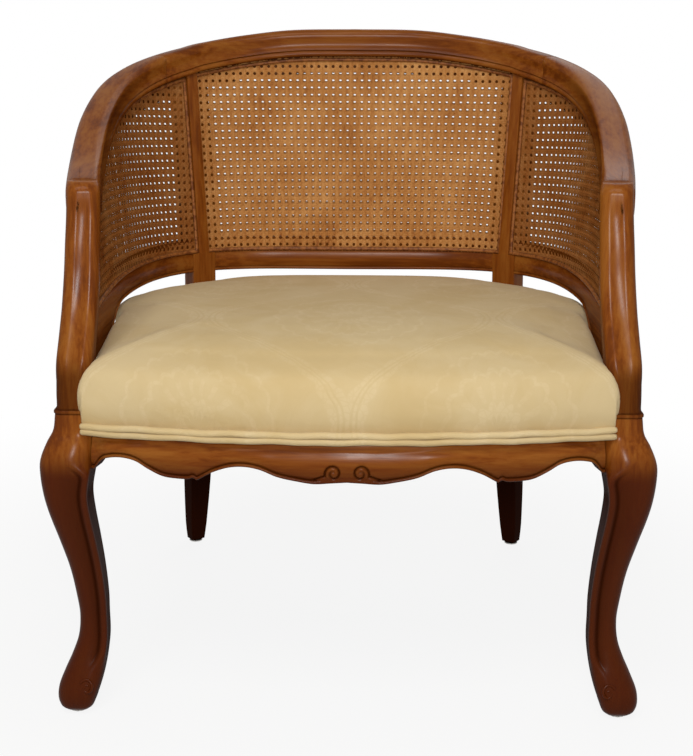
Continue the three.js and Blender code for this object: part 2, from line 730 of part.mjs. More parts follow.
function apronBody(grow = 0) {
  const right = apronShares.map(([x, rise]) => [x * (apronSpan - GAP), rise]);
  const left = right.slice(1).map(([x, rise]) => [-x, rise]).reverse();
  const stations = [...left, ...right];
  const frames = stations.map(([x]) => frontFrame(x));
  return sweepFrames(frames, (i) =>
    seatRailSection(APRON_LOW_Z + APRON_RISE * stations[i][1], grow, COCK_BEAD_REACH));
}

function apronTenon(side, grow = 0) {
  const from = apronSpan - GAP - OVERRUN;
  const xs = [from, apronSpan + TENON_LENGTH + grow];
  const frames = xs.map((x) => ({ ...frontFrame(side * apronSpan), point: frontFrame(side * x).point }));
  for (const frame of frames) frame.out = new THREE.Vector2(0, -1);
  return sweepFrames(frames, () => seatTenonSection(grow));
}

const seatBackEnd = seatPlan.moved(1, -POST_WIDTH / 2 + OVERRUN / 2);
const seatSideStart = seatPlan.moved(1, POST_WIDTH / 2 - OVERRUN / 2);
const seatSideEnd = seatPlan.moved(2, LOW_FRONT_Y - LEG_Y - LEG_BLOCK / 2 - GAP);
const seatSteps = { back: 10, side: 8 };
const seatRail = (from, to, steps, grow = 0) =>
  sweep(seatPlan, from, to, steps, () => seatRailSection(SEAT_RAIL_LOW_Z, grow));
const backSeatRail = (grow = 0) => seatRail(-seatBackEnd, seatBackEnd, seatSteps.back, grow);
const sideSeatRail = (side, grow = 0) =>
  seatRail(side * seatSideStart, side * seatSideEnd, seatSteps.side, grow);
const seatTenon = (from, to, grow = 0) =>
  sweep(seatPlan, from, to, 2, () => seatTenonSection(grow));

// Soft seat

const bracketEndY = lowPlan.at(bracketEnd).point.y;

/** How much of the side's lift a depth has: none at the front, all beside the bracket. */
function sideLift(y) {
  const start = LEG_Y - LEG_BLOCK / 3;
  const rise = THREE.MathUtils.smoothstep(y, start, bracketEndY - BRACKET_DEPTH);
  const fall = THREE.MathUtils.smoothstep(y, bracketEndY + BRACKET_DEPTH / 2, bracketEndY + 4 * BRACKET_DEPTH);
  return rise * (1 - liftFallShare * fall);
}

/** Points round the seat with their outward directions, and how far and how high the side swells. */
function seatFrames() {
  const front = frontShares.map((share) => frontFrame(share * (apronSpan - GAP)));
  const corner = frontFrame(SEAT_HALF_WIDTH - COVER_CORNER);
  corner.out = new THREE.Vector2(1 / 2, -1).normalize();
  const places = (from, to, steps) => shareList(steps).map((share) => seatPlan.at(lerp(from, to, share)));
  const side = places(seatSideEnd, seatSideStart, seatSteps.side);
  const back = places(seatBackEnd, 0, seatSteps.back / 2);
  const right = [...front, corner, ...side, ...back];
  const left = right.slice(1, -1).map(({ point, out }) => ({
    point: new THREE.Vector2(-point.x, point.y),
    out: new THREE.Vector2(-out.x, out.y),
  }));
  const bulge = ({ y }) => {
    const behind = THREE.MathUtils.smoothstep(y, bracketEndY - BRACKET_DEPTH, bracketEndY);
    const before = THREE.MathUtils.smoothstep(-y, -LEG_Y, LEG_BLOCK / 2 - LEG_Y);
    return lerp(-COVER_TUCK, COVER_BULGE, Math.max(behind, before));
  };
  return [...right, ...left.reverse()].map((frame) => ({
    ...frame,
    bulge: bulge(frame.point),
    lift: SIDE_LIFT * sideLift(frame.point.y),
  }));
}

const crownY = lerp(APRON_FRONT_Y, SEAT_BACK_Y, crownPlaceShare);

/** The swelling body of the seat, drawn in by an inset, from a height up to the crown. */
function seatBody(inset, lowZ) {
  const frames = seatFrames();
  const wall = COVER_THICKNESS + GAP - inset;
  const ring = (size, height, swell) => frames.map(({ point, out, bulge, lift }) => {
    const reach = wall + swell(bulge);
    const x = point.x + out.x * reach;
    const y = point.y + out.y * reach - crownY;
    return new THREE.Vector3(x * size, y * size + crownY, height(lift));
  });
  const crown = crownShares.map(([size, height]) =>
    ring(size, (lift) => lerp(SEAT_SIDE_Z + lift, SEAT_TOP_Z - inset, height), (bulge) => bulge));
  const tuckZ = lerp(SEAT_RAIL_TOP_Z, SEAT_SIDE_Z, tuckHeightShare);
  return loft([
    ring(1, () => lowZ, () => 0),
    ring(1, () => SEAT_RAIL_TOP_Z, () => 0),
    ring(1, (lift) => tuckZ + lift / 2, (bulge) => tuckShare * bulge),
    ...crown,
  ]);
}

/** The outline of a sheet under the seat, inset from the cover's line. */
function sheetOutline(inset, frontInset = inset) {
  return seatFrames().map(({ point, out }) => {
    const reach = point.y < LEG_Y ? frontInset : inset;
    return new THREE.Vector2(point.x - out.x * reach, point.y - out.y * reach);
  });
}

function flatSheet(outline, z, thickness) {
  return loft([z, z + thickness].map((height) =>
    outline.map((p) => new THREE.Vector3(p.x, p.y, height))));
}

/** Posts through the square gaps between crossing straps, well inside an outline. */
function strapGaps(outline, margin) {
  const pitch = WEB_STRAP + WEB_GAP;
  const inside = (p) => {
    const crossed = outline.filter((a, i) => {
      const b = outline[(i + 1) % outline.length];
      const across = a.x + ((b.x - a.x) * (p.y - a.y)) / (b.y - a.y);
      return a.y > p.y !== b.y > p.y && p.x < across;
    });
    return crossed.length % 2 === 1;
  };
  const corners = [[-1, -1], [1, -1], [1, 1], [-1, 1]];
  const square = (middle, size) =>
    corners.map(([x, y]) => new THREE.Vector2(middle.x + x * size, middle.y + y * size));
  const reach = Math.ceil(SEAT_HALF_WIDTH / pitch);
  const counts = shareList(2 * reach).map((share) => reach * (2 * share - 1));
  const middles = counts.flatMap((column) =>
    counts.map((row) => new THREE.Vector2(column, row).multiplyScalar(pitch)));
  return middles
    .filter((middle) => square(middle, WEB_GAP / 2 + margin).every(inside))
    .map((middle) => flatSheet(square(middle, WEB_GAP / 2), SEAT_RAIL_TOP_Z - OVERRUN, 2 * OVERRUN));
}

function weltSection() {
  const middle = COVER_THICKNESS + 2 * GAP + WELT_RADIUS;
  const steps = shareList(5);
  const cord = (start, z) => steps.map((share) => {
    const turn = start + (share * 5 * Math.PI) / 3;
    return [middle + WELT_RADIUS * Math.cos(turn), z + WELT_RADIUS * Math.sin(turn)];
  });
  const low = REBATE_Z + WELT_RADIUS;
  const between = WELT_RADIUS * Math.sqrt(3);
  return [...cord((2 * Math.PI) / 3, low), ...cord(-Math.PI / 3, low + between)];
}

// Fasteners and glides

function screw(head, along) {
  const tip = head.clone().addScaledVector(along, SCREW_LENGTH);
  const underHead = head.clone().addScaledVector(along, SCREW_HEAD_HEIGHT);
  return join(pin(head, tip, SCREW_RADIUS, 8), pin(head, underHead, SCREW_HEAD_RADIUS, 12));
}

function screwHole(head, along) {
  const start = head.clone().addScaledVector(along, -OVERRUN);
  const end = head.clone().addScaledVector(along, SCREW_LENGTH + GAP);
  const under = head.clone().addScaledVector(along, SCREW_HEAD_HEIGHT + GAP);
  return join(
    pin(start, end, SCREW_RADIUS + GAP, 8),
    pin(start, under, SCREW_HEAD_RADIUS + GAP, 12),
  );
}

function glide(x, y, grow = 0) {
  const pinRadius = GLIDE_PIN_RADIUS + grow;
  const pinTop = GLIDE_HEIGHT + GLIDE_PIN_LENGTH + grow;
  const profile = [
    [0, 0],
    [GLIDE_RADIUS, 0],
    [GLIDE_RADIUS, GLIDE_HEIGHT / 2],
    [GLIDE_RADIUS * 0.6, GLIDE_HEIGHT],
    [pinRadius, GLIDE_HEIGHT],
    [pinRadius, pinTop],
    [0, pinTop],
  ].map(([radius, z]) => new THREE.Vector2(radius, z));
  const geometry = new THREE.LatheGeometry(profile, 10);
  geometry.rotateX(Math.PI / 2);
  geometry.translate(x, y, 0);
  return solidOf(geometry);
}

// The frame, side by side

const posts = { left: postBody(-1), right: postBody(1) };
const postCutters = [postBody(-1, GAP), postBody(1, GAP)];
const supportCutters = [supportBody(-1, GAP), supportBody(1, GAP)];
const caneCutters = [supportBody(-1, GAP, GAP), supportBody(1, GAP, GAP)];
const legCutters = [legBody(-1, GAP), legBody(1, GAP)];
const rebates = ["back", "left", "right"].flatMap((panel) => [caneRebate(panel, -1), caneRebate(panel, 1)]);
const crestEnd = railPlan.moved(1, CREST_OVERHANG);
const armStart = railPlan.moved(crestEnd, GAP);
const railCutters = [
  railBody(-crestEnd, crestEnd, crestSteps, GAP),
  railBody(-armStart, -2, armSteps, GAP),
  railBody(armStart, 2, armSteps, GAP),
];
const postHalf = POST_WIDTH / 2;
const tenonRoot = postHalf + OVERRUN;
const tenonTip = postHalf - TENON_LENGTH;

/** A dowel across a joint of the rail or the arm support, and the hole for it. */
const dowel = (middle, along, grow = 0) => {
  const reach = DOWEL_LENGTH / 2 + grow;
  const from = middle.clone().addScaledVector(along, -reach);
  return pin(from, middle.clone().addScaledVector(along, reach), DOWEL_RADIUS + grow, 10);
};
const railDowel = (side, place, grow = 0) => {
  const { along } = railPlan.at(side * place);
  const middle = railPlan.offset(side * place, 0, railTop(place) - RAIL_HEIGHT / 2);
  return dowel(middle, new THREE.Vector3(along.x, along.y, 0), grow);
};
const supportDowel = (side, grow = 0) => {
  const base = supportBase(side);
  const middle = new THREE.Vector3(base.x, base.y, LEG_TOP_Z);
  return dowel(middle, new THREE.Vector3(0, 0, 1), grow);
};

const crest = cut(
  join(
    railBody(-crestEnd, crestEnd, crestSteps),
    cut(railLip(-crestEnd, crestEnd, crestSteps), ...postCutters, ...rebates),
  ),
  postTenon(-1, GAP),
  postTenon(1, GAP),
  railDowel(-1, crestEnd, GAP),
  railDowel(1, crestEnd, GAP),
);
addPiece("crest_rail", crest, wood);

const backLow = join(
  cut(sweep(lowPlan, -1, 1, lowSteps.back, (place) => lowRailSection(place)), ...postCutters),
  ...[-1, 1].map((side) =>
    lowTenon(side * lowPlan.moved(1, -tenonRoot), side * lowPlan.moved(1, -tenonTip))),
);
addPiece("back_lower_rail", cut(backLow, ...rebates), wood);

for (const [name, side] of Object.entries(sides)) {
  const arm = join(
    railBody(side * armStart, side * 2, armSteps),
    cut(railLip(side * armStart, side * 2, armSteps), ...rebates),
  );
  const lowStart = side * lowPlan.moved(1, tenonRoot);
  const lowEnd = side * lowPlan.moved(2, TENON_LENGTH);
  const lowRail = cut(
    sweep(lowPlan, side, side * 2, lowSteps.side, (place) => lowRailSection(place)),
    ...postCutters,
    ...supportCutters,
  );
  const lowTenons = [
    lowTenon(side * lowPlan.moved(1, tenonTip), lowStart),
    lowTenon(side * lowPlan.moved(2, -OVERRUN), lowEnd),
  ];
  const seatStart = seatPlan.moved(1, tenonRoot);
  const seatTenons = (grow) => [
    seatTenon(side * seatPlan.moved(1, tenonTip - grow), side * seatStart, grow),
    seatTenon(
      side * seatPlan.moved(seatSideEnd, -OVERRUN),
      side * seatPlan.moved(seatSideEnd, TENON_LENGTH + grow),
      grow,
    ),
  ];

  addPiece("arm_rail_" + name, cut(
    arm,
    supportBody(side, GAP),
    railDowel(side, crestEnd, GAP),
    railDowel(side, 2, GAP),
  ), wood);
  addPiece("side_lower_rail_" + name, cut(join(lowRail, ...lowTenons), ...rebates), wood);
  addPiece("side_seat_rail_" + name, join(
    cut(sideSeatRail(side), ...postCutters, legBody(side, GAP)),
    ...seatTenons(0),
  ), wood);
  addPiece("arm_support_" + name, cut(
    supportBody(side),
    lowTenon(side * lowPlan.moved(2, -OVERRUN), side * lowPlan.moved(2, TENON_LENGTH + GAP), GAP),
    railDowel(side, 2, GAP),
    supportDowel(side, GAP),
  ), wood);

  const blockOut = new THREE.Vector3(side, -1, 0).normalize();
  const legHead = new THREE.Vector3(side * (LEG_X - BLOCK_REACH), LEG_Y + BLOCK_REACH, SCREW_Z);
  const { out: postOut } = seatPlan.at(side);
  const postAlong = new THREE.Vector3(postOut.x, postOut.y, 0);
  const postHead = seatPlan.offset(side, -SEAT_RAIL_WIDTH - BLOCK_WIDTH, SCREW_Z);
  addPiece("front_leg_" + name, cut(
    legBody(side),
    apronTenon(side, GAP),
    seatTenons(GAP)[1],
    supportDowel(side, GAP),
    screwHole(legHead, blockOut),
    glide(side * (LEG_X + LEG_SIDE_OFFSET), LEG_Y - LEG_SIDE_OFFSET, GAP),
  ), wood);

  const foot = postStations(side, 0)[0];
  addPiece("rear_post_" + name, cut(
    join(cut(posts[name], ...railCutters), postTenon(side)),
    ...rebates,
    lowTenon(side * lowPlan.moved(1, -tenonRoot), side * lowPlan.moved(1, -tenonTip + GAP), GAP),
    lowTenon(side * lowPlan.moved(1, tenonTip - GAP), lowStart, GAP),
    seatTenon(side * seatPlan.moved(1, -tenonRoot), side * seatPlan.moved(1, -tenonTip + GAP), GAP),
    seatTenons(GAP)[0],
    screwHole(postHead, postAlong),
    glide(foot.x, foot.y, GAP),
  ), wood);

  addPiece("crest_dowel_" + name, railDowel(side, crestEnd), innerWood);
  addPiece("arm_dowel_" + name, railDowel(side, 2), innerWood);
  addPiece("support_dowel_" + name, supportDowel(side), innerWood);
  addPiece("front_block_screw_" + name, screw(legHead, blockOut), steel);
  addPiece("rear_block_screw_" + name, screw(postHead, postAlong), steel);
  addPiece("front_glide_" + name, glide(side * (LEG_X + LEG_SIDE_OFFSET), LEG_Y - LEG_SIDE_OFFSET), steel);
  addPiece("rear_glide_" + name, glide(foot.x, foot.y), steel);

  const block = (middle, turn, head, along) => {
    const geometry = new THREE.BoxGeometry(2 * BLOCK_REACH, BLOCK_WIDTH, BLOCK_HEIGHT);
    geometry.rotateZ(turn);
    geometry.translate(middle.x, middle.y, SCREW_Z);
    return cut(
      solidOf(geometry),
      apronBody(GAP),
      backSeatRail(GAP),
      sideSeatRail(side, GAP),
      legBody(side, GAP),
      postBody(side, GAP),
      screwHole(head, along),
    );
  };
  const legMiddle = legHead.clone().addScaledVector(blockOut, BLOCK_WIDTH / 2);
  const postMiddle = postHead.clone().addScaledVector(postAlong, BLOCK_WIDTH / 2);
  const legBlock = block(legMiddle, (side * Math.PI) / 4, legHead, blockOut);
  addPiece("front_corner_block_" + name, legBlock, innerWood);
  const postBlockTurn = Math.atan2(-postOut.x, postOut.y);
  const postBlock = block(postMiddle, postBlockTurn, postHead, postAlong);
  addPiece("rear_corner_block_" + name, postBlock, innerWood);
}

addPiece("front_apron", join(apronBody(), apronTenon(-1), apronTenon(1)), wood);
addPiece("back_seat_rail", join(
  cut(backSeatRail(), ...postCutters),
  ...[-1, 1].map((side) =>
    seatTenon(side * seatPlan.moved(1, -tenonRoot), side * seatPlan.moved(1, -tenonTip))),
), wood);

// Cane

for (const panel of ["back", "left", "right"]) {
  for (const [layer, face] of [["inner", -1], ["outer", 1]]) {
    addPiece(`${layer}_cane_${panel}`, cut(caneSheet(panel, face), ...caneCutters), cane);
    addPiece(`${layer}_spline_${panel}`, cut(caneSpline(panel, face), ...caneCutters), reed);
  }
}

// Seat

const seatCutters = [...legCutters, ...supportCutters, ...postCutters];
const webZ = SEAT_RAIL_TOP_Z + GAP;
const deckZ = webZ + WEB_THICKNESS + GAP;
const foamZ = deckZ + DECK_THICKNESS + GAP;
const webOutline = sheetOutline(SEAT_RAIL_WIDTH / 3);
const webCutters = [...seatCutters, ...strapGaps(webOutline, SEAT_RAIL_WIDTH)];
addPiece("seat_webbing", cut(flatSheet(webOutline, webZ, WEB_THICKNESS), ...webCutters), jute);
addPiece("seat_deck", cut(flatSheet(webOutline, deckZ, DECK_THICKNESS), ...seatCutters), jute);
const foamBody = seatBody(COVER_THICKNESS + GAP, REBATE_Z).trimByPlane([0, 0, 1], foamZ);
addPiece("seat_foam", cut(foamBody, ...seatCutters), foam);
addPiece("seat_cover", cut(
  seatBody(0, REBATE_Z),
  seatBody(COVER_THICKNESS, REBATE_Z - OVERRUN),
  ...seatCutters,
), damask);

const weltSteps = 16;
const weltReach = SEAT_HALF_WIDTH - COVER_CORNER;
const frontWelt = shareList(weltSteps).map((share) => frontFrame(lerp(-weltReach, weltReach, share)));
addPiece("front_welt", cut(sweepFrames(frontWelt, weltSection), ...legCutters), damask);
const backWelt = sweep(seatPlan, -seatBackEnd, seatBackEnd, seatSteps.back, weltSection);
addPiece("back_welt", cut(backWelt, ...postCutters), damask);
for (const [name, side] of Object.entries(sides)) {
  addPiece("side_welt_" + name, cut(
    sweep(seatPlan, side * seatSideStart, side * seatSideEnd, seatSteps.side, weltSection),
    ...postCutters,
    legBody(side, GAP),
  ), damask);
}

const dustOutline = sheetOutline(SEAT_RAIL_WIDTH / 2, SEAT_RAIL_WIDTH);
const dustZ = SEAT_RAIL_LOW_Z - GAP - DUST_THICKNESS;
addPiece("dust_cover", cut(
  flatSheet(dustOutline, dustZ, DUST_THICKNESS),
  apronBody(GAP),
  ...legCutters,
  ...postCutters,
), blackCloth);

// The origin is on the floor, below the middle of the chair
const middle = new THREE.Box3().setFromObject(chair).getCenter(new THREE.Vector3());
chair.position.set(0, 0, 0);
for (const piece of chair.children) piece.position.y = -middle.y;

export default chair;
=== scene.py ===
"""A barrel-back armchair: turned-out legs, a rail that runs down into the arms, cane panels, a tight seat."""

import logging
import math
from collections.abc import Callable, Sequence
from dataclasses import dataclass, field
from enum import Enum

import bmesh
import bpy
import numpy as np
from mathutils import Matrix, Vector


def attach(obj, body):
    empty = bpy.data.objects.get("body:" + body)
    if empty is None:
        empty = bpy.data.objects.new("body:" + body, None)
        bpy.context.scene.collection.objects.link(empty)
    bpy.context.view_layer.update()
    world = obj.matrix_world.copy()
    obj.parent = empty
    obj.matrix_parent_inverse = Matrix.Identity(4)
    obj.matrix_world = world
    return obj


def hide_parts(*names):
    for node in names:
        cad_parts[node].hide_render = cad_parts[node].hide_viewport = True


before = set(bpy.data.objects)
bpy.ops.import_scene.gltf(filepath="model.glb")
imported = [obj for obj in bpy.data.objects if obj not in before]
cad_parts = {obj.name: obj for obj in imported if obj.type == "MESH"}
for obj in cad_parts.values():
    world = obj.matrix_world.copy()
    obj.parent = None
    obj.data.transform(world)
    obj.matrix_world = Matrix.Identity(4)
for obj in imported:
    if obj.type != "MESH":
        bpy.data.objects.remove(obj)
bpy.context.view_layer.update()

BODY = "root"
SHIFT_Y = 0.00625
IMAGE_HEIGHT = 756
LOG = logging.getLogger("armchair")

Ring = list[Vector]
Pairs = list[tuple[float, float]]


# Small helpers


def smooth_table(rows: Sequence[Sequence[float]], place: float, column: int = 1) -> float:
    """Reads a value from a table, smooth through its rows.

    Args:
        rows: Rows that start with a place, in rising order.
        place: Where the value is read.
        column: Which column holds the value.

    Returns:
        The value there.
    """
    last = len(rows) - 1
    if place <= rows[0][0]:
        return rows[0][column]
    if place >= rows[last][0]:
        return rows[last][column]
    i = next(k for k, row in enumerate(rows) if row[0] > place) - 1

    def slope(k: int) -> float:
        """The slope through row k."""
        before, after = rows[max(k - 1, 0)], rows[min(k + 1, last)]
        return (after[column] - before[column]) / (after[0] - before[0])

    span = rows[i + 1][0] - rows[i][0]
    s = (place - rows[i][0]) / span
    start, end = rows[i][column], rows[i + 1][column]
    ease = s * (1 - s) ** 2 * span * slope(i) - s * s * (1 - s) * span * slope(i + 1)
    return start + (end - start) * s * s * (3 - 2 * s) + ease


def between(start: float, end: float, share: float) -> float:
    """The value at a share of the way from start to end."""
    return start + (end - start) * share


def steps(start: float, end: float, count: int) -> list[float]:
    """Evenly spaced values from start to end, with count spaces between them."""
    return [between(start, end, k / count) for k in range(count + 1)]


def smoothstep(value: float, low: float, high: float) -> float:
    """Rises smoothly from 0 at low to 1 at high."""
    s = min(max((value - low) / (high - low), 0.0), 1.0)
    return s * s * (3 - 2 * s)


def deselect() -> None:
    """Leaves nothing selected, in object mode."""
    if bpy.context.object and bpy.context.object.mode != "OBJECT":
        bpy.ops.object.mode_set(mode="OBJECT")
    bpy.ops.object.select_all(action="DESELECT")


def take(piece: bpy.types.Object) -> None:
    """Selects one object alone and makes it the active one."""
    deselect()
    piece.select_set(True)
    bpy.context.view_layer.objects.active = piece


def rounded(left: float, right: float, low: float, high: float, radii: Sequence[float], count: int = 4) -> Pairs:
    """A rectangle with rounded corners.

    Args:
        left: Lowest value across.
        right: Highest value across.
        low: Lowest value up.
        high: Highest value up.
        radii: Corner radii: right high, left high, left low, right low.
        count: Steps round each corner.

    Returns:
        The outline as (across, up) pairs.
    """
    corners = [(right, high, -1, -1), (left, high, 1, -1), (left, low, 1, 1), (right, low, -1, 1)]
    outline = []
    for k, (x, y, sx, sy) in enumerate(corners):
        radius = radii[k]
        for share in steps(0, 1, count):
            turn = (k + share) * math.pi / 2
            outline.append((x + sx * radius + radius * math.cos(turn), y + sy * radius + radius * math.sin(turn)))
    return outline


class Blank:
    """Stock that is drawn out in edit mode, ring by ring, from a filled circle."""

    def __init__(self, name: str, ring: Ring, soil: Sequence[float] | None = None) -> None:
        """Adds the primitive at its size and place and shapes it into the first outline.

        Args:
            name: The piece's name.
            ring: The first outline.
            soil: How much painted shade each point of it carries, from 0 to 1.
        """
        deselect()
        middle = sum(ring, Vector()) / len(ring)
        reach = max((point - middle).length for point in ring)
        bpy.ops.mesh.primitive_circle_add(vertices=len(ring), radius=reach, fill_type="NGON", calc_uvs=False, location=middle)
        self.piece = bpy.context.object
        self.piece.name = name
        self.piece.data.name = name
        bpy.ops.object.transform_apply(location=True, rotation=False, scale=False)
        bpy.ops.object.mode_set(mode="EDIT")
        bpy.ops.mesh.select_mode(type="FACE")
        bpy.ops.mesh.select_all(action="SELECT")
        self.middle = middle
        self._place(ring, soil)

    def _place(self, ring: Ring, soil: Sequence[float] | None) -> None:
        """Shapes the selected face into a ring."""
        mesh = bmesh.from_edit_mesh(self.piece.data)
        # Each point keeps its painted shade, darkest in grooves and recesses, as a vertex attribute.
        layer = mesh.verts.layers.float.get("soil") or mesh.verts.layers.float.new("soil")
        face = next(f for f in mesh.faces if f.select)
        for k, vertex in enumerate(list(face.verts)):
            vertex.co = ring[k]
            vertex[layer] = soil[k] if soil else 0.0
        bmesh.update_edit_mesh(self.piece.data, loop_triangles=False)

    def draw(self, ring: Ring, soil: Sequence[float] | None = None) -> None:
        """Extrudes the end face to the next ring and shapes it."""
        middle = sum(ring, Vector()) / len(ring)
        move = {"value": middle - self.middle}
        bpy.ops.mesh.extrude_region_move(TRANSFORM_OT_translate=move)
        self.middle = middle
        self._place(ring, soil)

    def close(self) -> bpy.types.Object:
        """Leaves edit mode with clean outward faces and returns the piece."""
        bpy.ops.mesh.select_all(action="SELECT")
        bpy.ops.mesh.normals_make_consistent(inside=False)
        bpy.ops.object.mode_set(mode="OBJECT")
        return self.piece

    def close_loop(self) -> bpy.types.Object:
        """Takes off both end faces, merges the last ring with the first and returns the piece."""
        mesh = bmesh.from_edit_mesh(self.piece.data)
        count = max(len(face.verts) for face in mesh.faces)
        for face in mesh.faces:
            face.select = len(face.verts) == count
        bmesh.update_edit_mesh(self.piece.data)
        bpy.ops.mesh.delete(type="ONLY_FACE")
        bpy.ops.mesh.select_mode(type="VERT")
        bpy.ops.mesh.select_all(action="SELECT")
        bpy.ops.mesh.remove_doubles(threshold=1e-6)
        return self.close()


def bar(name: str, rings: Sequence[Ring], painted_shades: Sequence[Sequence[float]] | None = None) -> bpy.types.Object:
    """Draws a bar through rings.

    Args:
        name: The piece's name.
        rings: The outlines that it passes through.
        painted_shades: How much painted shade each point of each outline carries.

    Returns:
        The closed piece.
    """
    blank = Blank(name, rings[0], painted_shades[0] if painted_shades else None)
    for k, ring in enumerate(rings[1:], 1):
        blank.draw(ring, painted_shades[k] if painted_shades else None)
    return blank.close()


def soften(piece: bpy.types.Object, width: float = 0.0, angle: float = 40.0, rounds: int = 2) -> bpy.types.Object:
    """Rounds a piece's sharp edges a little and shades it smooth.

    Args:
        piece: The piece.
        width: Width of the rounding; zero leaves the edges.
        angle: Edges sharper than this are rounded and stay crisp, in degrees.
        rounds: Segments in the rounding.

    Returns:
        The same piece.
    """
    take(piece)
    if width:
        worn = piece.modifiers.new("worn_edges", "BEVEL")
        worn.width = width
        worn.segments = rounds
        worn.limit_method = "ANGLE"
        worn.angle_limit = math.radians(angle)
        worn.use_clamp_overlap = True
        bpy.ops.object.modifier_apply(modifier=worn.name)
    bpy.ops.object.shade_smooth_by_angle(angle=math.radians(angle))
    return piece


def mirrored(piece: bpy.types.Object, name: str) -> bpy.types.Object:
    """A left-hand copy of a right-hand piece, with its own mesh.

    Args:
        piece: The right-hand piece.
        name: The copy's name.

    Returns:
        The copy.
    """
    take(piece)
    bpy.ops.object.duplicate(linked=False)
    copy = bpy.context.object
    copy.name = name
    copy.data.name = name
    bpy.ops.object.mode_set(mode="EDIT")
    bpy.ops.mesh.select_all(action="SELECT")
    bpy.ops.transform.resize(value=(-1, 1, 1), center_override=(0, 0, 0))
    bpy.ops.mesh.flip_normals()
    bpy.ops.object.mode_set(mode="OBJECT")
    return copy


def joined(pieces: Sequence[bpy.types.Object], name: str) -> bpy.types.Object:
    """Joins pieces into one under a name."""
    take(pieces[0])
    for piece in pieces:
        piece.select_set(True)
    bpy.ops.object.join()
    pieces[0].name = name
    pieces[0].data.name = name
    return pieces[0]


def tube(name: str, path: Sequence[Vector], radii: Sequence[float], sides: int = 8) -> bpy.types.Object:
    """Draws a round bar along a path.

    Args:
        name: The piece's name.
        path: Points that its middle passes through.
        radii: Its radius at each of them.
        sides: Sides of its section.

    Returns:
        The piece.
    """
    rings = []
    across = Vector((0, 1, 0))
    for k, point in enumerate(path):
        along = (path[min(k + 1, len(path) - 1)] - path[max(k - 1, 0)]).normalized()
        across = (across - along * across.dot(along)).normalized()
        up = along.cross(across)
        turns = [2 * math.pi * s / sides for s in range(sides)]
        rings.append([point + (across * math.cos(t) + up * math.sin(t)) * radii[k] for t in turns])
    return bar(name, rings)


# Shader maths


class Wire:
    """A shader socket that arithmetic can be written on."""

    def __init__(self, graph: "Graph", socket: bpy.types.NodeSocket) -> None:
        """Holds a socket and the graph that it belongs to."""
        self.graph = graph
        self.socket = socket

    def maths(self, operation: str, *others: "Wire | float") -> "Wire":
        """The result of a Math node on this value and others."""
        inputs = dict(enumerate((self, *others)))
        return self.graph.node("ShaderNodeMath", {"operation": operation}, inputs)

    def __add__(self, other: "Wire | float") -> "Wire":
        """The sum."""
        return self.maths("ADD", other)

    __radd__ = __add__

    def __sub__(self, other: "Wire | float") -> "Wire":
        """The difference."""
        return self.maths("SUBTRACT", other)

    def __rsub__(self, other: float) -> "Wire":
        """The difference from a number."""
        return self.graph.node("ShaderNodeMath", {"operation": "SUBTRACT"}, {0: other, 1: self})

    def __mul__(self, other: "Wire | float") -> "Wire":
        """The product."""
        return self.maths("MULTIPLY", other)

    __rmul__ = __mul__

    def __truediv__(self, other: "Wire | float") -> "Wire":
        """The quotient."""
        return self.maths("DIVIDE", other)

    def __abs__(self) -> "Wire":
        """The size without its sign."""
        return self.maths("ABSOLUTE")

    def sine(self) -> "Wire":
        """The sine."""
        return self.maths("SINE")

    def least(self, other: "Wire | float") -> "Wire":
        """The lesser of two values."""
        return self.maths("MINIMUM", other)

    def most(self, other: "Wire | float") -> "Wire":
        """The greater of two values."""
        return self.maths("MAXIMUM", other)

    def step(self, low: float, high: float) -> "Wire":
        """Rises smoothly from 0 at low to 1 at high, or falls where low is the higher."""
        inputs = {"Value": self, "From Min": low, "From Max": high}
        return self.graph.node("ShaderNodeMapRange", {"interpolation_type": "SMOOTHSTEP"}, inputs)


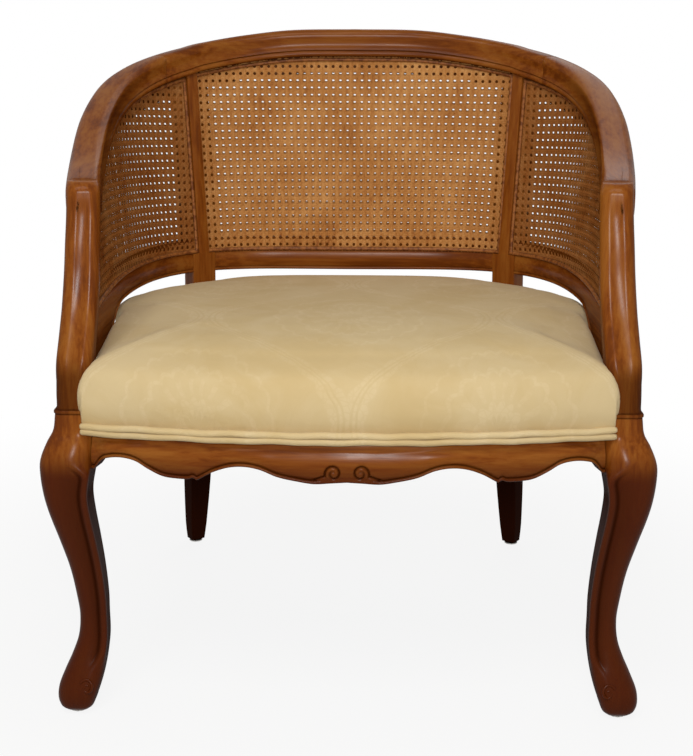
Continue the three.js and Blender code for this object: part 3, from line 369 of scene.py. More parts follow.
class Graph:
    """The node tree of one finish."""

    def __init__(self, name: str) -> None:
        """Starts an empty material with an output."""
        self.material = bpy.data.materials.new(name)
        self.material.use_nodes = True
        self.tree = self.material.node_tree
        self.tree.nodes.clear()
        self.output = self.tree.nodes.new("ShaderNodeOutputMaterial")

    def node(self, kind: str, settings: dict | None = None, inputs: dict | None = None, out: int | str = 0) -> Wire:
        """Adds one node.

        Args:
            kind: The node's type.
            settings: What is set on the node first; "stops" are a ramp's places and colours.
            inputs: Values or wires for its sockets, by name or number.
            out: Which output is handed back.

        Returns:
            That output.
        """
        made = self.tree.nodes.new(kind)
        for key, value in (settings or {}).items():
            if key == "stops":
                ramp = made.color_ramp
                while len(ramp.elements) < len(value):
                    ramp.elements.new(1.0)
                for element, (place, colour) in zip(ramp.elements, value):
                    element.position = place
                    element.color = colour
            else:
                setattr(made, key, value)
        for key, value in (inputs or {}).items():
            if isinstance(value, Wire):
                self.tree.links.new(value.socket, made.inputs[key])
            else:
                made.inputs[key].default_value = value
        return Wire(self, made.outputs[out])

    def place(self, scale: tuple[float, float, float], uv: bool = False) -> Wire:
        """Object or cloth coordinates, scaled along each axis."""
        where = self.node("ShaderNodeTexCoord", out="UV" if uv else "Object")
        return self.node("ShaderNodeMapping", inputs={"Vector": where, "Scale": scale})

    def noise(self, scale: tuple[float, float, float], detail: float = 2.0, rough: float = 0.5, warp: float = 0.0) -> Wire:
        """Noise over object coordinates, with so many features to the metre along each axis."""
        settings = {"Scale": 1.0, "Detail": detail, "Roughness": rough, "Distortion": warp}
        return self.node("ShaderNodeTexNoise", None, {"Vector": self.place(scale), **settings})

    def mix(self, share: "Wire | float", first: object, second: object) -> Wire:
        """A colour that lies between two colours."""
        return self.node("ShaderNodeMix", {"data_type": "RGBA"}, {0: share, 6: first, 7: second}, 2)

    def soil(self) -> Wire:
        """The painted shade of a piece at a point, from 0 to 1, read from the piece itself."""
        return self.node("ShaderNodeAttribute", {"attribute_name": "soil"}, out="Fac")

    def shade(self, inputs: dict, dull: "Wire | None" = None) -> bpy.types.Material:
        """Ends the tree in a Principled shader with these inputs, worn dull to a share where one is given."""
        surface = self.node("ShaderNodeBsdfPrincipled", None, inputs)
        if dull is not None:
            matt = self.node("ShaderNodeBsdfPrincipled", None, inputs | {"Specular IOR Level": 0.0})
            surface = self.node("ShaderNodeMixShader", None, {0: dull, 1: surface, 2: matt})
        self.tree.links.new(surface.socket, self.output.inputs["Surface"])
        return self.material


def colour(red: float, green: float, blue: float) -> tuple[float, float, float, float]:
    """A colour as it is read off a screen, from 0 to 255, as the shader wants it."""
    return tuple((c / 255 / 12.92 if c <= 10 else ((c / 255 + 0.055) / 1.055) ** 2.4) for c in (red, green, blue)) + (1.0,)


class Grain(Enum):
    """The direction in which a board's grain runs."""

    ACROSS = (0.05, 1.0, 1.0)
    BACKWARDS = (1.0, 0.05, 1.0)
    UPRIGHT = (1.0, 1.0, 0.05)


@dataclass(frozen=True)
class FruitWood:
    """Stained and waxed wood with a fine straight grain, with painted shade low down and in its grooves and recesses.
    """

    grain: Grain
    light: tuple = colour(143, 85, 30)
    middle: tuple = colour(126, 66, 18)
    dark: tuple = colour(102, 49, 12)
    # Painted shade: the darker, redder colour that the wood turns to low on the legs, where less light reaches.
    low: tuple = colour(72, 25, 3)
    # Painted shade: the colour of darkened grooves, recesses and shaded sides.
    line: tuple = colour(38, 13, 4)
    roughness: float = 0.22

    def build(self) -> bpy.types.Material:
        """Makes the finish."""
        g = Graph("wood_" + self.grain.name.lower())
        stretch = self.grain.value
        figure = g.noise(tuple(46 * s for s in stretch), 2, 0.5, 0.3)
        streak = g.noise(tuple(240 * s for s in stretch), 3, 0.6, 0.2)
        pores = g.noise(tuple((1400 if s == 1.0 else 900) * s for s in stretch), 2, 0.5)
        patch = g.noise((4, 4, 4), 1, 0.5)
        tone = figure * 0.52 + streak * 0.36 + patch * 0.12
        body = g.mix(tone.step(0.44, 0.64), self.middle, self.light)
        body = g.mix(tone.step(0.5, 0.36), body, self.dark)
        pore = pores.step(0.42, 0.3) * 0.3
        body = g.mix(pore, body, self.dark)
        where = g.node("ShaderNodeTexCoord", out="Object")
        height = g.node("ShaderNodeSeparateXYZ", None, {0: where}, 2)
        # Painted shade: the wood turns to the low colour below about 0.3 m.
        body = g.mix(height.step(0.318, 0.28) * 0.94, body, self.low)
        # Painted shade from the piece's own mask, in grooves, recesses and on shaded sides.
        body = g.mix(g.soil() * 0.85, body, self.line)
        rough = figure * 0.12 + pore * 0.12 + (self.roughness - 0.06)
        bump = g.node("ShaderNodeBump", None, {"Strength": 0.08, "Distance": 0.0003, "Height": streak - pore})
        return g.shade({
            "Base Color": body,
            "Roughness": rough,
            "Normal": bump,
            "Specular IOR Level": 0.2,
        }, g.soil() * 0.3 + 0.68)


@dataclass(frozen=True)
class BareWood:
    """Unfinished beech inside the frame."""

    light: tuple = colour(196, 156, 108)
    dark: tuple = colour(158, 116, 72)

    def build(self) -> bpy.types.Material:
        """Makes the finish."""
        g = Graph("bare_wood")
        figure = g.noise((40, 4, 40), 3, 0.6, 0.4)
        fleck = g.noise((900, 90, 900), 2)
        body = g.mix((figure * 0.7 + fleck * 0.3).step(0.35, 0.65), self.dark, self.light)
        bump = g.node("ShaderNodeBump", None, {"Strength": 0.2, "Distance": 0.0004, "Height": fleck})
        return g.shade({"Base Color": body, "Roughness": figure * 0.2 + 0.65, "Normal": bump})


@dataclass(frozen=True)
class CaneSkin:
    """The glossy skin of split cane, golden brown with age."""

    light: tuple = colour(210, 154, 92)
    middle: tuple = colour(177, 117, 58)
    dark: tuple = colour(138, 78, 32)
    shaded: tuple = colour(98, 38, 6)

    def build(self) -> bpy.types.Material:
        """Makes the finish."""
        g = Graph("cane_skin")
        strand = g.noise((230, 60, 60), 2, 0.6)
        node = g.noise((700, 700, 700), 2, 0.6)
        patch = g.noise((11, 11, 11), 2)
        tone = strand * 0.45 + node * 0.25 + patch * 0.45
        body = g.mix(tone.step(0.48, 0.8), self.middle, self.light)
        body = g.mix(tone.step(0.52, 0.36), body, self.dark)
        body = g.mix(g.soil(), body, self.shaded)
        bump = g.node("ShaderNodeBump", None, {"Strength": 0.25, "Distance": 0.0003, "Height": node})
        inputs = {"Base Color": body, "Roughness": node * 0.2 + 0.36, "Normal": bump, "Specular IOR Level": 0.25}
        return g.shade(inputs, g.soil() * 0.4 + 0.6)


@dataclass(frozen=True)
class Reed:
    """The half-round reed that is tapped into the groove over the cane's edge."""

    light: tuple = colour(156, 96, 46)
    dark: tuple = colour(104, 54, 20)

    def build(self) -> bpy.types.Material:
        """Makes the finish."""
        g = Graph("reed")
        fibre = g.noise((160, 160, 160), 3, 0.6)
        body = g.mix(fibre.step(0.35, 0.62), self.dark, self.light)
        # Painted shade on the reed's edges and underside.
        body = g.mix(g.soil() * 0.75, body, colour(58, 26, 9))
        bump = g.node("ShaderNodeBump", None, {"Strength": 0.2, "Distance": 0.0003, "Height": fibre})
        return g.shade({"Base Color": body, "Roughness": fibre * 0.2 + 0.38, "Normal": bump, "Specular IOR Level": 0.2})


@dataclass(frozen=True)
class Damask:
    """Cream cotton damask: satin leaves and flowers on a duller ground, aged and faintly stained, with painted shade at
    its foot.
    """

    repeat: tuple[float, float] = (0.33, 0.43)
    arch_y: float = 0.085
    ground: tuple = colour(207, 184, 139)
    figure: tuple = colour(221, 201, 160)
    aged: tuple = colour(193, 164, 108)

    def motif(self, g: Graph) -> Wire:
        """The woven figure, from 0 on the ground to 1 on the satin: onion-shaped frames set half-drop, each round a medallion."""
        where = g.place((1, 1, 1), uv=True)
        wander = g.node("ShaderNodeTexNoise", None, {"Vector": where, "Scale": 26.0, "Detail": 3.0}, "Color")
        shift = g.node("ShaderNodeVectorMath", {"operation": "SUBTRACT"}, {0: wander, 1: (0.5, 0.5, 0.5)})
        shift = g.node("ShaderNodeVectorMath", {"operation": "SCALE"}, {0: shift, "Scale": 0.009})
        where = g.node("ShaderNodeVectorMath", {"operation": "ADD"}, {0: where, 1: shift})
        x = g.node("ShaderNodeSeparateXYZ", None, {0: where}, 0) / self.repeat[0]
        y = (g.node("ShaderNodeSeparateXYZ", None, {0: where}, 1) - self.arch_y) / self.repeat[1]
        masks = []
        for drop in (0.0, 0.5):
            a = abs((x + (0.5 + drop)).maths("FRACT") - 0.5)
            b = (y + (1.0 + drop)).maths("FRACT")
            masks.append(self.frame(a, b))
            masks.append(self.medallion(a, b))
        lace = g.node("ShaderNodeTexVoronoi", {"feature": "DISTANCE_TO_EDGE"}, {"Vector": where, "Scale": 130.0})
        found = masks[0]
        for mask in masks[1:]:
            found = found.most(mask)
        return found * (lace.step(0.03, 0.12) * 0.6 + 0.4)

    def frame(self, a: Wire, b: Wire) -> Wire:
        """The broad leafy band of one frame: it swells from its point to its shoulder and back."""
        line = (b * (2 * math.pi)).maths("COSINE") * -0.23 + 0.25
        scallop = abs((b * (2 * math.pi * 9)).sine()) * 0.012
        width = (b * (4 * math.pi) + 0.9).sine() * 0.008 + 0.024
        band = (abs(a - line) - width - scallop).step(0.006, -0.006)
        vein = abs(abs(a - line) - 0.009).step(0.002, 0.006)
        return band * vein * 0.8

    def medallion(self, a: Wire, b: Wire) -> Wire:
        """Scalloped rings, a fan of leaves and a small flower inside a frame."""
        c = b - 0.5
        r = (a * a * 2.2 + c * c * 2.4).maths("SQRT")
        turn = (a * 1.3).maths("ARCTAN2", c)
        rings = []
        for reach, count, deep, thick in ((0.36, 14, 0.022, 0.007), (0.25, 10, 0.03, 0.011), (0.07, 6, 0.03, 0.026)):
            edge = abs((turn * count).maths("COSINE")) * deep + reach
            rings.append((abs(r - edge) - thick).step(0.006, -0.003))
        fan = (turn * 16).maths("COSINE").step(0.2, 0.6) * abs(r - 0.175).step(0.05, 0.03)
        return rings[0].most(rings[1]).most(rings[2]).most(fan * 0.8) * 0.62

    def build(self) -> bpy.types.Material:
        """Makes the finish."""
        g = Graph("damask")
        motif = self.motif(g)
        thread = g.node("ShaderNodeTexNoise", None, {"Vector": g.place((2600, 500, 1), uv=True), "Scale": 1.0, "Detail": 2.0})
        weft = g.node("ShaderNodeTexNoise", None, {"Vector": g.place((500, 2600, 1), uv=True), "Scale": 1.0, "Detail": 2.0})
        weave = thread * motif + weft * (1 - motif)
        patch = g.noise((5, 5, 5), 3, 0.55)
        stain = g.noise((13, 13, 13), 4, 0.6, 0.8)
        creases = g.noise((21, 21, 21), 3, 0.5, 0.6)
        body = g.mix(motif * 0.4, self.ground, self.figure)
        body = g.mix((patch * 0.6 + stain * 0.5).step(0.46, 0.7) * 0.5, body, self.aged)
        body = g.mix(weave.step(0.45, 0.25) * 0.28, body, self.aged)
        # Painted shade where the cover tucks under the welts.
        body = g.mix(g.soil() * 0.6, body, colour(120, 92, 58))
        bump = g.node("ShaderNodeBump", None, {"Strength": 0.35, "Distance": 0.0006, "Height": weave * 0.6 + motif * 0.5 + creases * 6.0})
        return g.shade({
            "Base Color": body,
            "Roughness": 0.88 - motif * 0.2,
            "Normal": bump,
            "Specular IOR Level": 0.2,
            "Sheen Weight": 0.06,
            "Sheen Roughness": 0.5,
        })


@dataclass(frozen=True)
class Cloth:
    """A plain woven stuff: webbing, deck cloth, foam or dust cover."""

    name: str
    light: tuple
    dark: tuple
    pitch: float

    def build(self) -> bpy.types.Material:
        """Makes the finish."""
        g = Graph(self.name)
        turn = 2 * math.pi / self.pitch
        where = g.node("ShaderNodeTexCoord", out="Object")
        x = g.node("ShaderNodeSeparateXYZ", None, {0: where}, 0)
        y = g.node("ShaderNodeSeparateXYZ", None, {0: where}, 1)
        weave = (x * turn).sine() * (y * turn).sine() * 0.5 + 0.5
        patch = g.noise((30, 30, 30), 3)
        body = g.mix(weave * 0.6 + patch * 0.5, self.dark, self.light)
        bump = g.node("ShaderNodeBump", None, {"Strength": 0.5, "Distance": 0.0006, "Height": weave})
        return g.shade({"Base Color": body, "Roughness": patch * 0.15 + 0.8, "Normal": bump})


@dataclass(frozen=True)
class Steel:
    """Bright steel with fine scratches."""

    tone: tuple = colour(176, 174, 170)

    def build(self) -> bpy.types.Material:
        """Makes the finish."""
        g = Graph("steel")
        scratch = g.noise((900, 900, 60), 3, 0.6)
        body = g.mix(scratch.step(0.4, 0.6), self.tone, colour(140, 136, 130))
        return g.shade({"Base Color": body, "Roughness": scratch * 0.25 + 0.2, "Metallic": 1.0})


class Finishes:
    """All finishes of the chair, each made once."""

    def __init__(self) -> None:
        """Makes the materials."""
        self.wood = {grain: FruitWood(grain).build() for grain in Grain}
        self.bare = BareWood().build()
        self.cane = CaneSkin().build()
        self.reed = Reed().build()
        self.damask = Damask().build()
        self.jute = Cloth("jute", colour(176, 146, 100), colour(120, 92, 56), 0.003).build()
        self.foam = Cloth("foam", colour(236, 226, 190), colour(212, 196, 150), 0.002).build()
        self.black = Cloth("black_cloth", colour(44, 42, 40), colour(16, 15, 14), 0.0016).build()
        self.steel = Steel().build()


def dress(piece: bpy.types.Object, material: bpy.types.Material, slot: str, *nodes: str) -> bpy.types.Object:
    """Gives a finished piece its material and its place in the frame.

    Args:
        piece: The piece.
        material: Its finish.
        slot: Not used.
        nodes: The CAD nodes that it stands for.

    Returns:
        The same piece.
    """
    piece.data.materials.clear()
    piece.data.materials.append(material)
    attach(piece, BODY)
    if nodes:
        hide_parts(*nodes)
    LOG.info("%s: %d faces", piece.name, len(piece.data.polygons))
    return piece


# Lines in plan that several pieces share


@dataclass
class Line:
    """A line in plan from the middle of the back to the front of an arm, mirrored for the left."""

    half_width: float
    back_depth: float
    widest_y: float
    front_y: float
    post_x: float
    squareness: float
    narrowing: float = 0.0
    arm_curve: float = 1.6
    xs: np.ndarray = field(init=False)
    ys: np.ndarray = field(init=False)
    runs: np.ndarray = field(init=False)
    to_post: float = field(init=False)

    def __post_init__(self) -> None:
        """Works out the points of the line and the run to each of them."""
        turn = np.linspace(0, math.pi / 2, 600)
        share = np.linspace(0, 1, 120)[1:]
        bend_x = self.half_width * np.sin(turn) ** (2 / self.squareness)
        bend_y = self.widest_y + self.back_depth * np.cos(turn) ** (2 / self.squareness)
        self.xs = np.r_[bend_x, self.half_width - self.narrowing * share**self.arm_curve]
        self.ys = np.r_[bend_y, self.widest_y + (self.front_y - self.widest_y) * share] + SHIFT_Y
        self.runs = np.r_[0, np.cumsum(np.hypot(np.diff(self.xs), np.diff(self.ys)))]
        past = int(np.argmax(self.xs > self.post_x))
        self.to_post = float(np.interp(self.post_x, self.xs[: past + 1], self.runs[: past + 1]))

    def run_at(self, place: float) -> float:
        """The run along the line at a place: 0 middle of the back, 1 post, 2 front end."""
        side = self.runs[-1] - self.to_post
        return place * self.to_post if place <= 1 else self.to_post + (place - 1) * side

    def moved(self, place: float, run: float) -> float:
        """A place moved by a run towards the front."""
        length = self.run_at(place) + run
        side = self.runs[-1] - self.to_post
        return length / self.to_post if length <= self.to_post else 1 + (length - self.to_post) / side

    def point(self, run: float) -> Vector:
        """The point at a run, which may pass either end."""
        if run > self.runs[-1]:
            back = self.point(self.runs[-1] - 0.002)
            end = Vector((self.xs[-1], self.ys[-1]))
            return end + (end - back).normalized() * (run - self.runs[-1])
        x = float(np.interp(abs(run), self.runs, self.xs))
        return Vector((math.copysign(x, run), float(np.interp(abs(run), self.runs, self.ys))))

    def at(self, place: float) -> tuple[Vector, Vector, Vector]:
        """A point of the line, its outward direction and its forward direction."""
        run = self.run_at(abs(place))
        side = -1 if place < 0 else 1
        here = self.point(run)
        along = (self.point(run + 0.002) - self.point(run - 0.002)).normalized()
        out = Vector((-along.y * side, along.x))
        return Vector((side * here.x, here.y)), out, Vector((along.x * side, along.y))

    def offset(self, place: float, outwards: float, height: float) -> Vector:
        """A point at a distance outwards from the line and at a height."""
        here, out, _ = self.at(place)
        return Vector((here.x + out.x * outwards, here.y + out.y * outwards, height))

    def ring(self, place: float, section: Pairs) -> Ring:
        """A section, as (outwards, height) pairs, set square across the line."""
        here, out, _ = self.at(place)
        return [Vector((here.x + out.x * o, here.y + out.y * o, z)) for o, z in section]


@dataclass
class ChairLines:
    """The sizes and lines that the pieces of the chair share, in metres."""

    leg_x: float = 0.293
    leg_y: float = -0.246
    leg_block: float = 0.042
    leg_top: float = 0.348
    arm_top: float = 0.591
    rail_top_z: float = 0.757
    rail_height: float = 0.037
    low_rail_z: float = 0.453
    low_drop: float = 0.022
    cane_clearance: float = 0.0009
    gap: float = 0.0003
    rail_heights: tuple = ((0, 1), (0.37, 0.992), (0.64, 0.95), (0.87, 0.895), (1, 0.85), (1.215, 0.69), (1.47, 0.445), (1.71, 0.19), (1.83, 0.09), (2, 0))
    low_drops: tuple = ((0, 0), (1, 0), (1.5, 0.05), (1.75, 0.35), (2, 1))
    rail: Line = field(default_factory=lambda: Line(0.315, 0.253, 0.020, -0.186, 0.230, 2.9, 0.026))
    low: Line = field(default_factory=lambda: Line(0.298, 0.443, -0.200, -0.214, 0.216, 4.15))
    seat: Line = field(default_factory=lambda: Line(0.294, 0.450, -0.200, -0.214, 0.216, 4.15))

    def rail_top(self, place: float) -> float:
        """Height of the top rail's upper face."""
        return between(self.arm_top, self.rail_top_z, smooth_table(self.rail_heights, abs(place)))

    def rail_under(self, place: float) -> float:
        """Height of the top rail's under face."""
        return self.rail_top(place) - self.rail_height

    def cane_low(self, place: float) -> float:
        """Height of the cane's lower edge."""
        return self.low_rail_z - self.low_drop * smooth_table(self.low_drops, abs(place))

    def cane_rise(self, place: float) -> float:
        """Height of the opening that the cane fills."""
        return self.rail_under(place) - self.cane_low(place)

    def cane_point(self, place: float, outwards: float, height: float) -> Vector:
        """A point of the leaning surface from the low rail to the top rail, by its height above the low rail."""
        low = self.low.offset(place, outwards, self.cane_low(place))
        high = self.rail.offset(place, outwards, self.rail_under(place))
        return low.lerp(high, height / (high.z - low.z))

    def apron_span(self) -> float:
        """Half the length of the apron, between the leg blocks."""
        return self.leg_x - self.leg_block / 2

    def front(self, x: float, outwards: float = 0.0) -> tuple[Vector, Vector]:
        """The point and outward direction of the seat's front line at x."""
        bow, span = 0.028, self.apron_span()
        y = self.leg_y - self.leg_block / 2 - 0.004 - bow + bow * (x / span) ** 2 + 0.005 + SHIFT_Y
        out = Vector((2 * bow * x / span**2, -1)).normalized()
        return Vector((x, y)) + out * outwards, out


LINES = ChairLines()


# Wood


@dataclass
class TopRail:
    """The curved rail over the back and the arms, in three lengths."""

    crest_overhang: float = 0.045
    # Rows of outwards and height in mm, then painted shade: darkest in the groove over the lip and on the strip that
    # runs down under the rail.
    section: tuple = (
        (18.2, 0.4, 0), (19.0, 2.0, 0), (19.3, 10.0, 0), (19.3, 19.0, 0), (18.9, 26.0, 0), (17.6, 31.0, 0),
        (15.0, 34.6, 0), (11.0, 36.6, 0), (5.0, 37.0, 0), (-4.0, 37.0, 0), (-11.0, 36.8, 0), (-15.0, 35.3, 0),
        (-17.6, 32.4, 0), (-18.5, 29.0, 0), (-18.0, 25.0, 0), (-17.2, 21.0, 0), (-16.8, 17.0, 0), (-17.0, 13.5, 0),
        (-17.7, 10.8, 0.1), (-18.5, 9.0, 0.15), (-17.3, 8.0, 0.5), (-18.3, 7.0, 0.15), (-19.0, 5.6, 0), (-19.2, 3.8, 0),
        (-18.8, 2.0, 0.1), (-17.6, 0.8, 0.3), (-14.0, 0.2, 0.5), (-6.5, 0.2, 0.8), (-6.4, -21.5, 0.6), (-5.6, -22.0, 0.5),
        (5.6, -22.0, 0.5), (6.4, -21.5, 0.6), (6.5, 0.2, 0.8), (15.0, 0.2, 0.2),
    )

    def ring(self, place: float) -> Ring:
        """The rail's section at a place; the strip under it leans with the cane."""
        points = []
        for out, height, _ in self.section:
            if height < 0:
                points.append(LINES.cane_point(place, out / 1000, LINES.cane_rise(place) + height / 1000))
            else:
                points.append(LINES.rail.offset(place, out / 1000, LINES.rail_under(place) + height / 1000))
        return points

    def length(self, name: str, start: float, end: float, count: int) -> bpy.types.Object:
        """Draws one length of the rail between two places."""
        worn = (end - start) / count * 0.04
        places = [start, start + worn, *steps(start, end, count)[1:-1], end - worn, end]
        rings = [self.ring(place) for place in places]
        for k in (0, -1):
            middle = sum(rings[k], Vector()) / len(self.section)
            rings[k] = [point.lerp(middle, 0.02) for point in rings[k]]
        return soften(bar(name, rings, [self.soil(place) for place in places]), angle=50)

    def soil(self, place: float) -> list[float]:
        """The painted shade of each point of the section: more on the arms' inner sides, which face away from the
        light, and a painted shadow at their front ends.
        """
        inside = 0.32 * smoothstep(abs(place), 1.1, 1.5)
        painted_tip_shadow = 0.3 * smoothstep(abs(place), 1.965, 2.0)
        return [min(1.0, dark + painted_tip_shadow + (inside if out < -16 and 3 < height < 32 else 0)) for out, height, dark in self.section]

    def build(self, finishes: Finishes) -> None:
        """Makes the back's length and the two arms."""
        end = LINES.rail.moved(1, self.crest_overhang)
        start = LINES.rail.moved(end, LINES.gap)
        crest = self.length("back_rail", -end, end, 72)
        dress(crest, finishes.wood[Grain.ACROSS], "wood", "crest_rail")
        front = LINES.rail.moved(2, 0.003)
        right = self.length("arm_right", start, front, 44)
        left = mirrored(right, "arm_left")
        dress(right, finishes.wood[Grain.BACKWARDS], "wood", "arm_rail_right")
        dress(left, finishes.wood[Grain.BACKWARDS], "wood", "arm_rail_left")


@dataclass
class ArmSupports:
    """The swept supports that stand on the front legs and carry the arms."""

    width: float = 0.038
    narrowing: float = 0.0024
    base_depth: float = 0.042
    top_depth: float = 0.036
    edge: float = 0.0104
    bead_reach: float = 0.0014
    nose: float = 0.012
    dish: float = 0.0009
    sweep: tuple = ((0, 0), (0.11, 0.02), (0.23, 0.12), (0.35, 0.33), (0.48, 0.55), (0.63, 0.73), (0.77, 0.84), (0.9, 0.95), (1, 1))

    def outline(self, width: float, depth: float, dish: float, edge: float) -> Pairs:
        """The support's section, with a slightly hollow front face between wide rounded edges."""
        w, d = width / 2, depth / 2
        edge = min(edge, 0.97 * w, 0.97 * d)
        back = min(0.008, 0.65 * d)
        shape = rounded(-w, w, -d, d, (back, back, edge, edge), 4)
        flat = w - edge
        hollow = [(share * flat, -d + dish * (1 - share * share)) for share in (-0.75, -0.4, 0, 0.4, 0.75)]
        return shape[:15] + hollow + shape[15:]

    def station(self, share: float) -> tuple[Vector, float, float]:
        """The middle of the shaft, its turn and its depth at a share of its height."""
        here, _, along = LINES.rail.at(2)
        moved = smooth_table(self.sweep, share)
        base = Vector((LINES.leg_x + (LINES.leg_block - self.width) / 2, LINES.leg_y - (LINES.leg_block - self.base_depth) / 2 + SHIFT_Y))
        top = here + along * (LINES.gap + self.top_depth / 2)
        place = base.lerp(top, moved)
        z = between(LINES.leg_top + LINES.gap, LINES.arm_top - self.nose, share)
        turn = math.atan2(along.x, -along.y) * moved
        return Vector((place.x, place.y, z)), turn, between(self.base_depth, self.top_depth, moved)

    def ring(self, middle: Vector, turn: float, outline: Pairs) -> Ring:
        """A section laid flat about a middle and turned."""
        c, s = math.cos(turn), math.sin(turn)
        return [Vector((middle.x + a * c - b * s, middle.y + a * s + b * c, middle.z)) for a, b in outline]

    def rings(self) -> tuple[list[Ring], list[list[float]]]:
        """All sections from the bead up to the nose, and the painted shade of each."""
        rings, painted_shades = [], []
        first, _, _ = self.station(0)

        def add(middle: Vector, turn: float, width: float, depth: float, dish: float, soil: float, edge: float) -> None:
            """Adds a section."""
            outline = self.outline(width, depth, dish, edge)
            rings.append(self.ring(middle, turn, outline))
            painted_shades.append([soil] * len(outline))

        full = 0.016
        # Bead rows: rise, reach and painted shade, darkest in the groove above the bead.
        for rise, reach, soil in ((0, 0.1, 0.7), (0.0006, 0.8, 0.5), (0.0016, 1.1, 0.3), (0.0032, 1.1, 0.3), (0.0042, 0.7, 0.5), (0.0048, -0.2, 0.95), (0.006, -0.1, 0.75), (0.0072, 0, 0.62)):
            middle = first + Vector((0, 0, rise))
            grow = 2 * self.bead_reach * reach
            add(middle, 0, self.width + grow, self.base_depth + grow, 0, soil, between(0.0088, full, smoothstep(rise, 0.004, 0.0072)))
        for share in steps(0.045, 1, 56):
            middle, turn, depth = self.station(share)
            flat = smoothstep(share, 0.15, 0.25)
            dish = self.dish * flat * (1 - smoothstep(share, 0.9, 0.99))
            width = self.width - self.narrowing * smoothstep(share, 0.5, 1.0)
            # Painted shade on the lower part of the shaft, which fades out above about a quarter of its height.
            add(middle, turn, width, depth, dish, 0.62 * (1 - smoothstep(share, 0.16, 0.29)), between(full, self.edge, flat**0.5))
        top, turn, depth = self.station(1)
        back = Vector((math.sin(turn), -math.cos(turn), 0)) * -1
        for share in steps(0, 1, 12)[1:]:
            drawn = 1 - math.cos(share * math.pi / 2)
            rise = math.sin(share * math.pi / 2)
            middle = top + Vector((0, 0, self.nose * rise)) + back * (self.nose * 0.5 * drawn)
            shrink = self.nose * 0.35 * drawn
            edge = between(self.edge, self.width / 2, drawn**0.6)
            add(middle, turn, self.width - self.narrowing - shrink, depth - self.nose * drawn, 0, 0, edge)
        return rings, painted_shades

    def build(self, finishes: Finishes) -> None:
        """Makes the two supports."""
        rings, painted_shades = self.rings()
        right = soften(bar("support_right", rings, painted_shades), angle=50)
        left = mirrored(right, "support_left")
        dress(right, finishes.wood[Grain.UPRIGHT], "wood", "arm_support_right")
        dress(left, finishes.wood[Grain.UPRIGHT], "wood", "arm_support_left")


